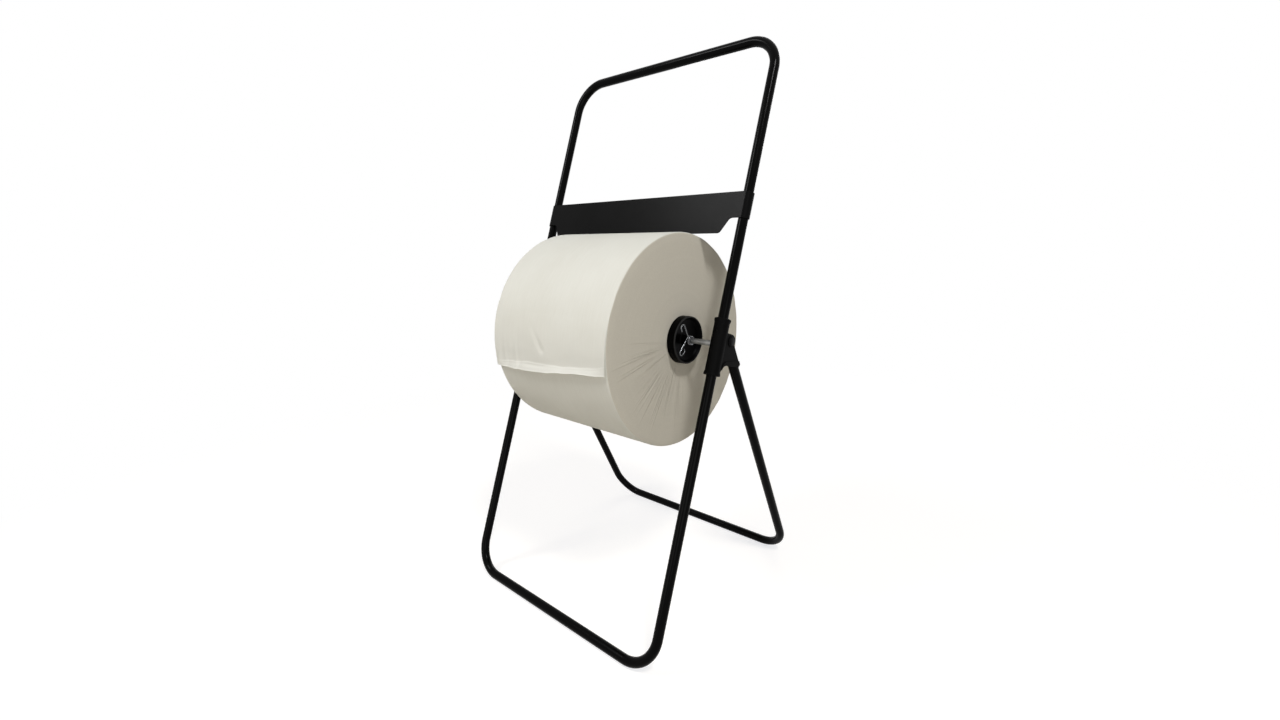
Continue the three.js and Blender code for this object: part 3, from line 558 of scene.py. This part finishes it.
def coreBoard():
    # spirally wound grey-brown board
    look = boardLook
    finish, tree, shader = startFinish("coreBoard", look)
    vector = objectPlace(tree, location=tuple(-c for c in rollCentre))
    flecks = grain(tree, vector, *look["flecks"])
    angle = maths(tree, "ARCTAN2", partOf(tree, vector, "Z"), partOf(tree, vector, "Y"))
    climb = times(tree, partOf(tree, vector, "X"), look["turnsPerMetre"])
    wound = maths(tree, "ADD", climb, maths(tree, "DIVIDE", angle, math.tau))
    seam = spread(tree, maths(tree, "FRACT", wound), 0.0, look["seamShare"], 1.0, 0.0)
    colour = blendColour(tree, spread(tree, flecks, *look["fleckRange"]), look["dark"], look["light"])
    tree.links.new(colour, shader.inputs["Base Color"])
    height = maths(tree, "ADD", seam, times(tree, flecks, look["fleckRelief"]))
    relief(tree, shader, height, *look["relief"])
    return finish


paints = dict(
    tube=tubePaint(),
    plate=cloudedFinish("platePaint"),
    moulded=cloudedFinish("mouldedBlack"),
    plug=cloudedFinish("plugPlastic"),
    zinc=cloudedFinish("zincPlate"),
    wire=cloudedFinish("springWire"),
    screw=cloudedFinish("blackedScrew"),
    paper=paperFace("paperFace"),
    sheet=paperFace("sheetFace", hasFreeEnd=True),
    ends=paperEnd(),
    board=coreBoard(),
)
print("finishes made")


# Bent tube hoops

hoops = dict(
    radius=0.0075,
    bend=0.05,
    bendSteps=20,
    roundness=7,
    upper=(0.478, 0.9285),
    lower=(0.461, 0.0),
    legTop=0.009,
)


def onFrame(x, along):
    lean = math.radians(stand["lean"])
    up = Vector((0, math.sin(lean), math.cos(lean)))
    return Vector(stand["footPlace"]) + Vector((x, 0, 0)) + up * along


def bentTube(name, corners):
    piece = drawLine(name, corners)
    bends = corners[1:-1]
    selectWhere(piece, lambda spot: any((spot - bend).length < merge["coarse"] for bend in bends))
    bpy.ops.mesh.bevel(offset=hoops["bend"], segments=hoops["bendSteps"], profile=0.5, affect="VERTICES")
    leaveEdit()
    pick(piece)
    bpy.ops.object.convert(target="CURVE")
    piece.data.bevel_depth = hoops["radius"]
    piece.data.bevel_resolution = hoops["roundness"]
    piece.data.use_fill_caps = True
    bpy.ops.object.convert(target="MESH")
    cleanMesh(piece)
    smooth(piece, shading["tube"])
    return piece


def addHoops():
    half = stand["halfSpan"]
    for name, node, (near, far) in (
        ("handle_hoop", "upper_hoop", hoops["upper"]),
        ("front_foot_hoop", "lower_hoop", hoops["lower"]),
    ):
        corners = [onFrame(-half, near), onFrame(-half, far), onFrame(half, far), onFrame(half, near)]
        place(bentTube(name, corners), paints["tube"], "frame", "tube_black", node)
    hinge, foot = Vector(stand["hinge"]), Vector(stand["rearFoot"])
    top = hinge + (foot - hinge).normalized() * hoops["legTop"]
    side = Vector((half, 0, 0))
    corners = [top - side, foot - side, foot + side, top + side]
    place(bentTube("rear_foot_hoop", corners), paints["tube"], "rear_stand", "tube_black", "rear_hoop")


addHoops()
print("hoops made")


# Brackets, knuckles, pins, screws and the plate

edges = dict(
    bracket=0.00035,
    knuckle=0.0005,
    pin=0.0004,
    screw=0.00015,
    plate=0.00018,
    segments=2,
    sharperThan=30,
    flatWeight=100,
)


def addFittings():
    for word in ("left", "right"):
        bracket = copyOf(f"{word}_bracket", f"{word}_side_bracket", edges["bracket"])
        place(bracket, paints["moulded"], "frame", "moulded_black", f"{word}_bracket")
        knuckle = copyOf(f"{word}_leg_knuckle", f"{word}_leg_end", edges["knuckle"])
        place(knuckle, paints["moulded"], "rear_stand", "moulded_black", f"{word}_leg_knuckle")
        pin = copyOf(f"{word}_hinge_pin", f"{word}_hinge_rivet", edges["pin"])
        place(pin, paints["screw"], "frame", "screw_dark", f"{word}_hinge_pin")
        for kind, label in (("lock_screw", "sleeve_screw"), ("plate_screw", "plate_fixing")):
            screw = copyOf(f"{word}_{kind}", f"{word}_{label}", edges["screw"])
            place(screw, paints["screw"], "frame", "screw_dark", f"{word}_{kind}")
    plate = copyOf("tear_plate", "tear_off_plate", edges["plate"])
    place(plate, paints["plate"], "frame", "plate_black", "tear_plate")


addFittings()
print("fittings made")


# Cross rod

rod = dict(
    radius=0.004,
    left=-0.2052,
    right=0.2052,
    sides=48,
    chamfer=0.0008,
    chamferSteps=3,
    sharperThan=60,
)


def addRod():
    deselectAll()
    length = rod["right"] - rod["left"]
    middle = Vector(stand["rod"]) + Vector(((rod["right"] + rod["left"]) / 2, 0, 0))
    bpy.ops.mesh.primitive_cylinder_add(
        vertices=rod["sides"],
        radius=rod["radius"],
        depth=length,
        location=middle,
        rotation=(0, math.radians(90), 0),
    )
    piece = bpy.context.object
    piece.name = "cross_rod"
    bpy.ops.object.transform_apply(location=True, rotation=True, scale=True)
    bevelEdges(piece, rod["chamfer"], rod["chamferSteps"], rod["sharperThan"])
    applyModifiers(piece)
    smooth(piece)
    place(piece, paints["zinc"], "spindle", "zinc", "spindle_rod")


addRod()
print("rod made")


# Paper roll and its core

paper = dict(
    radius=0.1597,
    halfWidth=0.122,
    bore=0.0323,
    boreMargin=0.001,
    edgeRound=0.0026,
    edgeSteps=5,
    endRings=26,
    widthRings=40,
    steps=240,
    flatEndNormal=0.8,
)
# How deep the roll's unevenness is, its shares, how fast it changes along X or outward, and its noise seeds
waves = dict(
    end=0.00035,
    endShift=1.1,
    ring=0.1,
    ringRate=160,
    ringSeed=3.0,
    fineRing=0.6,
    fineRingRate=620,
    fineRingSeed=5,
    slowRate=1.6,
    slowRadialRate=9,
    slowSeed=7,
    face=0.00035,
    faceShift=0.7,
    soft=0.6,
    softRates=(16, 3),
    fine=0.35,
    fineRates=(70, 9),
    rim=0.0005,
    rimReach=0.012,
    rimRate=7,
    rimSeed=11.0,
    quick=0.6,
    quickRate=26,
    quickSeed=4.0,
)
core = dict(bore=0.0298, wall=0.0022, inset=0.0004, steps=72)
tiny = dict(place=1e-6, radius=1e-5, outline=1e-9)


def wobble(x, y, z):
    return noise.noise(Vector((x, y, z)))


def rollOutline():
    radius, half, bend = paper["radius"], paper["halfWidth"], paper["edgeRound"]
    outline = [(paper["bore"], -half)]
    rings = paper["endRings"]
    for i in range(1, rings):
        outline.append((paper["bore"] + (radius - bend - paper["bore"]) * i / rings, -half))
    for i in range(paper["edgeSteps"] + 1):
        angle = math.radians(90 * i / paper["edgeSteps"])
        outline.append((radius - bend + bend * math.sin(angle), -half + bend - bend * math.cos(angle)))
    for i in range(1, paper["widthRings"]):
        outline.append((radius, -half + bend + 2 * (half - bend) * i / paper["widthRings"]))
    leftEnd = -half + bend + tiny["outline"]
    return outline + [(away, -along) for away, along in reversed(outline) if along < leftEnd]


def waveRoll(piece):
    # sculpt the roll: turns that lie a little back at the ends, a wavy rim, and an uneven face
    half, radius, bend = paper["halfWidth"], paper["radius"], paper["edgeRound"]
    for vertex in piece.data.vertices:
        spot = vertex.co - rollCentre
        away = Vector((0, spot.y, spot.z))
        far = away.length
        if far < paper["bore"] + paper["boreMargin"]:
            continue
        outward = away.normalized()
        side = 1 if spot.x > 0 else -1
        nearRim = max(0.0, 1 - (radius - far) / waves["rimReach"])
        rim = nearRim * max(0.0, 1 - (half - abs(spot.x)) / waves["rimReach"])
        if abs(spot.x) > half - bend - tiny["place"] and far < radius - tiny["radius"]:
            ring = wobble(far * waves["ringRate"], side * waves["ringSeed"], 0)
            ring += waves["fineRing"] * wobble(far * waves["fineRingRate"], side, waves["fineRingSeed"])
            rate, depth = waves["slowRate"], side * waves["slowSeed"] + far * waves["slowRadialRate"]
            slow = wobble(outward.y * rate, outward.z * rate, depth)
            spot.x -= side * waves["end"] * (waves["endShift"] + waves["ring"] * ring + slow)
        if far > radius - bend:
            acrossRate, roundRate = waves["softRates"]
            soft = wobble(spot.x * acrossRate, outward.y * roundRate, outward.z * roundRate)
            acrossRate, roundRate = waves["fineRates"]
            fine = wobble(spot.x * acrossRate, outward.y * roundRate, outward.z * roundRate)
            depth = waves["faceShift"] + waves["soft"] * soft + waves["fine"] * fine
            spot -= outward * waves["face"] * depth
        if rim > 0:
            rate = waves["rimRate"]
            wave = wobble(outward.y * rate, outward.z * rate, side * waves["rimSeed"])
            rate = waves["quickRate"]
            quick = wobble(outward.y * rate, outward.z * rate, side * waves["quickSeed"])
            spot.x -= side * waves["rim"] * rim * (1 + wave + waves["quick"] * quick)
        vertex.co = rollCentre + spot


def addRoll():
    piece = spinOutline("wiper_roll", rollOutline(), rollCentre, paper["steps"])
    waveRoll(piece)
    place(piece, paints["paper"], "roll", "roll_white", "paper_roll")
    piece.data.materials.append(paints["ends"])
    for face in piece.data.polygons:
        spot = face.center - rollCentre
        inBore = Vector((0, spot.y, spot.z)).length < paper["bore"] + paper["boreMargin"]
        if abs(face.normal.x) > paper["flatEndNormal"] or inBore:
            face.material_index = 1
    smooth(piece, shading["roll"])
    half = paper["halfWidth"] - core["inset"]
    inner, outer = core["bore"], core["bore"] + core["wall"]
    outline = [(inner, -half), (outer, -half), (outer, half), (inner, half)]
    board = spinOutline("roll_core", outline, rollCentre, core["steps"])
    smooth(board)
    place(board, paints["board"], "roll", "core_brown", "cardboard_core")


addRoll()
print("roll made")


# Loose end of the paper, lying over the front of the roll with its free edge lifted

flap = dict(
    start=24.0,
    inset=0.0008,
    across=240,
    down=120,
    # share of the rows that lie evenly; the others crowd towards the free edge
    evenRows=0.3,
    crowdedRows=0.7,
    thick=0.00035,
    # degrees below the roll's centre where the free edge lies on average
    meanEdge=9.8,
    # places along X from the middle of the roll, with degrees above its centre
    edgeAt=(
        (-0.122, -12.3), (-0.107, -11.9), (-0.089, -11.5), (-0.07, -11.4), (-0.031, -10.7),
        (0.005, -9.7), (0.039, -8.15), (0.07, -6.95), (0.0975, -6.6), (0.122, -6.15),
    ),
    edgeRagged=0.15,
    edgeRaggedRate=30,
    edgeRaggedSeed=(1.0, 0.0),
    creaseAt=(
        (-0.122, -9.5), (-0.073, -7.9), (-0.0355, -6.8), (0.0, -6.3),
        (0.032, -5.9), (0.064, -4.8), (0.094, -3.7), (0.122, -2.1),
    ),
    # how far the free edge stands off the roll
    edgeLift=(
        (-0.122, 0.0034), (-0.095, 0.0062), (-0.07, 0.0078), (0.0, 0.0095),
        (0.06, 0.009), (0.095, 0.0076), (0.122, 0.0036),
    ),
    # a soft valley pressed into the sheet, from its upper to its lower end, as place along X and arc
    valley=((-0.033, 0.038), (-0.006, 0.002)),
    valleyDepth=0.0016,
    valleyReach=0.005,
    valleyEnds=(0.4, 0.6),
    shoulder=0.0009,
    shoulderReach=0.02,
)
# Heights of the sheet over the roll; each rate is for X and for degrees, with its noise seed
lay = dict(
    startLift=-0.0008,
    startRise=0.0024,
    lift=0.0016,
    creaseLift=0.0007,
    creaseSharpness=5,
    wander=0.0005,
    wanderRate=(22, 0.16, 2.0),
    pucker=0.00018,
    puckerRate=(75, 0.05, 8.0),
    wrinkle=0.0011,
    wrinkleRate=(110, 0.045, 5.0),
    # wrinkles are full on the left and fade to a quarter on the right
    slackLeast=0.25,
    slackFrom=-0.03,
    slackOver=0.04,
    ridge=0.00042,
    ridgeBelow=0.2,
    ridgeReach=0.5,
    ridgeMean=0.8,
    ridgeRate=40,
    ridgeSeed=(3.0, 1.0),
    fold=-0.0007,
    foldAt=(-0.02, 0.02),
    foldDown=(0.35, 0.2),
    curl=0.0004,
    curlFrom=0.85,
    curlOver=0.15,
)


def along(table, x):
    # between two places of the table, half a straight line and half a smooth step
    for (x0, y0), (x1, y1) in zip(table, table[1:]):
        if x <= x1 or (x1, y1) == table[-1]:
            share = min(1.0, max(0.0, (x - x0) / (x1 - x0)))
            return y0 + (y1 - y0) * share * share * (3 - 2 * share) * 0.5 + (y1 - y0) * share * 0.5


def bump(value, middle, reach):
    return math.exp(-((value - middle) / reach) ** 2)


def valleyLift(x, degrees):
    # the valley deepens downwards between two soft shoulders
    first, last = (Vector((*end, 0)) for end in flap["valley"])
    spot = Vector((x, math.radians(degrees) * paper["radius"], 0))
    share = min(1.0, max(0.0, (spot - first).dot(last - first) / (last - first).length_squared))
    away = (spot - first.lerp(last, share)).length
    least, more = flap["valleyEnds"]
    shoulder = flap["shoulder"] * bump(away, 0, flap["shoulderReach"])
    return shoulder - flap["valleyDepth"] * (least + more * share) * bump(away, 0, flap["valleyReach"])


def ripple(name, x, degrees, share=1.0):
    rate, turnRate, seed = lay[name + "Rate"]
    return lay[name] * share * wobble(x * rate, degrees * turnRate, seed)


def flapLift(x, degrees, crease, edge):
    slack = max(lay["slackLeast"], min(1.0, (lay["slackFrom"] - x) / lay["slackOver"]))
    height = lay["ridgeMean"] + wobble(x * lay["ridgeRate"], *lay["ridgeSeed"])
    ridge = lay["ridge"] * bump(degrees, crease - lay["ridgeBelow"], lay["ridgeReach"]) * height
    loose = ripple("wander", x, degrees) + ripple("pucker", x, degrees)
    loose += ripple("wrinkle", x, degrees, slack)
    if degrees > crease:
        share = min(1.0, max(0.0, (flap["start"] - degrees) / (flap["start"] - crease)))
        rise = lay["startLift"] + lay["startRise"] * share
        rise += lay["creaseLift"] * share ** lay["creaseSharpness"]
        return rise + share ** 2 * loose + ridge + valleyLift(x, degrees) * share
    share = (crease - degrees) / (crease - edge)
    rise = (along(flap["edgeLift"], x) - lay["creaseLift"] - lay["lift"]) * share
    fold = lay["fold"] * bump(x, *lay["foldAt"]) * bump(share, *lay["foldDown"])
    curl = lay["curl"] * max(0.0, share - lay["curlFrom"]) / lay["curlOver"]
    return lay["lift"] + lay["creaseLift"] + loose + ridge + rise + fold + curl + valleyLift(x, degrees)


def addFlap():
    deselectAll()
    bpy.ops.mesh.primitive_grid_add(
        x_subdivisions=flap["across"], y_subdivisions=flap["down"], size=1, location=(0, 0, 0)
    )
    piece = bpy.context.object
    piece.name = "paper_end_sheet"
    half = paper["halfWidth"] - flap["inset"]
    for vertex in piece.data.vertices:
        x = vertex.co.x * 2 * half
        crease = along(flap["creaseAt"], x)
        ragged = flap["edgeRagged"] * wobble(x * flap["edgeRaggedRate"], *flap["edgeRaggedSeed"])
        edge = along(flap["edgeAt"], x) + ragged
        # from the start of the sheet, 0, to its free edge, 1
        down = 0.5 - vertex.co.y
        down = flap["evenRows"] * down + flap["crowdedRows"] * (1 - (1 - down) ** 2)
        degrees = flap["start"] + (edge - flap["start"]) * down
        radius = paper["radius"] + flapLift(x, degrees, crease, edge)
        angle = math.radians(degrees)
        vertex.co = rollCentre + Vector((x, -radius * math.cos(angle), radius * math.sin(angle)))
    skin = piece.modifiers.new("skin", "SOLIDIFY")
    skin.thickness = flap["thick"]
    skin.offset = 0
    applyModifiers(piece)
    smooth(piece, shading["flap"])
    place(piece, paints["sheet"], "roll", "sheet_white", "loose_sheet")


addFlap()
print("loose end made")


# Core plugs and spring clips

plug = dict(
    rim=0.0354,
    depth=0.0139,
    wall=0.0024,
    floor=0.0026,
    floorFrom=0.015,
    hub=0.007,
    hubShort=0.0013,
    bore=0.0043,
    spigot=0.026,
    spigotEnd=-0.024,
    spigotLead=0.001,
    spigotWall=0.0022,
    spigotTaper=0.0008,
    gap=0.001,
    corner=0.0004,
    hubFoot=0.0008,
    hubTaper=0.0001,
    hubRound=0.0005,
    # how far the side and the lip draw in, going outward
    sideTaper=(0.00005, 0.0001, 0.0003, 0.0008),
    sideMiddle=0.5,
    lipDrop=0.0012,
    lipInner=0.0005,
    # the dish, as shares of the wall and heights over the floor
    dishShares=(1.4, 2, 3.2),
    dishFrom=0.7,
    dishHeights=(0.0048, 0.0026),
    steps=96,
)
# the wire from tip to tip; wound, upper and the turns are in degrees
clip = dict(
    wire=0.001,
    roundness=3,
    coil=0.00575,
    pitch=0.003,
    wound=648,
    woundSteps=60,
    upper=115,
    hook=0.0042,
    hookTurn=175,
    hookSteps=20,
    runStep=0.002,
    firstTip=0.004,
    firstArm=0.0295,
    secondArm=0.024,
    secondTip=0.0045,
    tailTurn=80,
    tailBend=0.0022,
    tailSteps=8,
    tail=0.0022,
    # between the plug's hub and the coil
    gap=0.0003,
)


def plugOutline():
    gap, rim, bore, hub = plug["gap"], plug["gap"] + plug["depth"], plug["bore"], plug["hub"]
    floor, edge, spigot, end = gap + plug["floor"], plug["rim"], plug["spigot"], plug["spigotEnd"]
    wall, corner, foot = plug["wall"], plug["corner"], plug["hubFoot"]
    first, second, third, fourth = plug["sideTaper"]
    upperShare, middleShare, lowerShare = plug["dishShares"]
    middleHeight, lowerHeight = plug["dishHeights"]
    hubTop, taper, rounding = rim - plug["hubShort"], plug["hubTaper"], plug["hubRound"]
    return [
        (bore, end),
        (hub, end),
        (hub, gap),
        (spigot - plug["spigotWall"], gap),
        (spigot - plug["spigotWall"] - plug["spigotTaper"], end),
        (spigot - plug["spigotTaper"], end),
        (spigot, -plug["spigotLead"]),
        (spigot, gap),
        (edge - corner, gap),
        (edge, gap + corner),
        (edge - first, rim * plug["sideMiddle"]),
        (edge - second, rim - plug["lipDrop"]),
        (edge - third, rim - corner),
        (edge - fourth, rim),
        (edge - wall + plug["lipInner"], rim),
        (edge - wall, rim - corner),
        (edge - wall * upperShare, rim * plug["dishFrom"]),
        (edge - wall * middleShare, floor + middleHeight),
        (edge - wall * lowerShare, floor + lowerHeight),
        (plug["floorFrom"], floor),
        (hub + foot, floor),
        (hub, floor + foot),
        (hub - taper, hubTop - rounding),
        (hub - taper - rounding, hubTop),
        (bore + corner, hubTop),
        (bore, hubTop - corner),
    ]


def addPlug(word, side):
    face = rollCentre.x + side * paper["halfWidth"]
    centre = Vector((face, stand["rod"][1], stand["rod"][2]))
    outline = [(away, side * x) for away, x in plugOutline()]
    piece = spinOutline(f"{word}_dished_plug", outline, centre, plug["steps"])
    smooth(piece, shading["plug"])
    place(piece, paints["plug"], f"{word}_plug", "moulded_black", f"{word}_core_plug")


def wireLine():
    # runs and bends drawn in the plane across the rod; the coil also climbs along it
    climb = clip["pitch"] * clip["wound"] / 360
    spot, heading = Vector((climb, 0, 0)), math.radians(clip["upper"] + 180 + clip["hookTurn"])
    points = [spot.copy()]

    def run(length):
        nonlocal spot
        steps = max(2, round(length / clip["runStep"]))
        for i in range(1, steps + 1):
            points.append(spot + Vector((0, math.cos(heading), math.sin(heading))) * length * i / steps)
        spot = points[-1].copy()

    def bend(degrees, radius, steps, shift=0.0):
        nonlocal spot, heading
        way, turn, start, first = math.copysign(1, degrees), math.radians(degrees), spot.copy(), heading
        for i in range(1, steps + 1):
            heading = first + turn * i / steps
            across = way * radius * (math.sin(heading) - math.sin(first))
            rise = -way * radius * (math.cos(heading) - math.cos(first))
            points.append(start + Vector((shift * i / steps, across, rise)))
        spot = points[-1].copy()

    run(clip["firstTip"])
    bend(-clip["hookTurn"], clip["hook"], clip["hookSteps"])
    run(clip["firstArm"])
    centre = spot + Vector((-spot.x, -clip["coil"] * math.sin(heading), clip["coil"] * math.cos(heading)))
    bend(clip["wound"], clip["coil"], clip["woundSteps"], -climb)
    run(clip["secondArm"])
    bend(clip["hookTurn"], clip["hook"], clip["hookSteps"])
    run(clip["secondTip"])
    bend(clip["tailTurn"], clip["tailBend"], clip["tailSteps"])
    run(clip["tail"])
    return [point - centre for point in points]


def addClip(word, side):
    face = rollCentre.x + side * paper["halfWidth"]
    hubTop = plug["gap"] + plug["depth"] - plug["hubShort"]
    seat = face + side * (hubTop + clip["gap"] + clip["wire"])
    curve = bpy.data.curves.new(f"{word}_wire_clip", "CURVE")
    curve.dimensions = "3D"
    line = wireLine()
    spline = curve.splines.new("POLY")
    spline.points.add(len(line) - 1)
    for knot, point in zip(spline.points, line):
        knot.co = (seat + side * point.x, stand["rod"][1] + point.y, stand["rod"][2] + point.z, 1)
    curve.bevel_depth = clip["wire"]
    curve.bevel_resolution = clip["roundness"]
    curve.use_fill_caps = True
    piece = bpy.data.objects.new(f"{word}_wire_clip", curve)
    bpy.context.scene.collection.objects.link(piece)
    pick(piece)
    bpy.ops.object.convert(target="MESH")
    piece = bpy.context.object
    cleanMesh(piece)
    smooth(piece, shading["wire"])
    place(piece, paints["wire"], f"{word}_clip", "zinc", f"{word}_spring_clip")


for word, side in (("left", -1), ("right", 1)):
    addPlug(word, side)
    addClip(word, side)
print("plugs and clips made")


# Floor, backdrop and studio light

studio = dict(
    floorSize=14,
    floor=dict(colour=(0.5, 0.466, 0.4), gloss=0.9, specular=0.0),
    floorGlow=0.7,
    # cancels the floor's warmth where the floor itself is seen
    glowColour=(1, 1.012, 1.055),
    whiteFrom=0.5,
    whiteAt=1.5,
    worldColour=(1, 1, 1),
    worldLevel=0.13,
    lamps=(
        dict(name="ceiling", place=(1.48, -0.7, 2.63), size=0.42, watts=32),
        dict(name="key", place=(-1.02, -1.4, 2.12), size=0.62, watts=18),
        dict(name="low", place=(-0.4, -2.8, 0.75), size=1.4, watts=12.7, colour=(1, 0.955, 0.9)),
        dict(name="front", place=(2.0, -1.8, 0.8), size=1.6, watts=15),
        dict(name="over", place=(0.0, -0.2, 3.0), size=2.4, watts=2),
        dict(name="rear", place=(-0.9, 2.7, 1.2), size=1.6, watts=26),
    ),
    aim=(0.02, 0.0, 0.42),
)


def seenDirectly(tree):
    rays = addNode(tree, "ShaderNodeLightPath")
    either = maths(tree, "MAXIMUM", rays.outputs["Is Camera Ray"], rays.outputs["Is Glossy Ray"])
    return maths(tree, "MAXIMUM", either, rays.outputs["Is Transmission Ray"])


def addFloor():
    deselectAll()
    bpy.ops.mesh.primitive_plane_add(size=studio["floorSize"], location=(0, 0, 0))
    floor = bpy.context.object
    floor.name = "studio_floor"
    finish, tree, shader = startFinish("studioFloor", studio["floor"])
    seen = seenDirectly(tree)
    glow = addNode(tree, "ShaderNodeEmission", {"Color": (*studio["glowColour"], 1)})
    tree.links.new(times(tree, seen, studio["floorGlow"]), glow.inputs["Strength"])
    lit = addNode(tree, "ShaderNodeAddShader", {0: shader.outputs["BSDF"], 1: glow.outputs["Emission"]})
    white = addNode(tree, "ShaderNodeEmission", {"Color": (1, 1, 1, 1), "Strength": 1.0})
    far = spread(tree, lengthOf(tree, objectPlace(tree)), studio["whiteFrom"], studio["whiteAt"])
    inputs = {0: times(tree, seen, far), 1: lit.outputs["Shader"], 2: white.outputs["Emission"]}
    both = addNode(tree, "ShaderNodeMixShader", inputs)
    tree.links.new(both.outputs["Shader"], tree.nodes["Material Output"].inputs["Surface"])
    floor.data.materials.append(finish)


def addWorld():
    world = bpy.data.worlds.new("studioAir")
    world.use_nodes = True
    bpy.context.scene.world = world
    tree = world.node_tree
    air = tree.nodes["Background"]
    air.inputs["Color"].default_value = (*studio["worldColour"], 1)
    level = spread(tree, seenDirectly(tree), 0.0, 1.0, studio["worldLevel"], 1.0)
    tree.links.new(level, air.inputs["Strength"])


def addLamps():
    for settings in studio["lamps"]:
        aim = Vector(studio["aim"]) - Vector(settings["place"])
        turn = aim.to_track_quat("-Z", "Y").to_euler()
        bpy.ops.object.light_add(type="AREA", location=settings["place"], rotation=turn)
        lamp = bpy.context.object
        lamp.name = settings["name"] + "_lamp"
        lamp.data.size = settings["size"]
        lamp.data.energy = settings["watts"]
        lamp.data.color = settings.get("colour", (1, 1, 1))


addFloor()
addWorld()
addLamps()
bpy.context.scene.view_settings.view_transform = "Standard"
print("studio set")
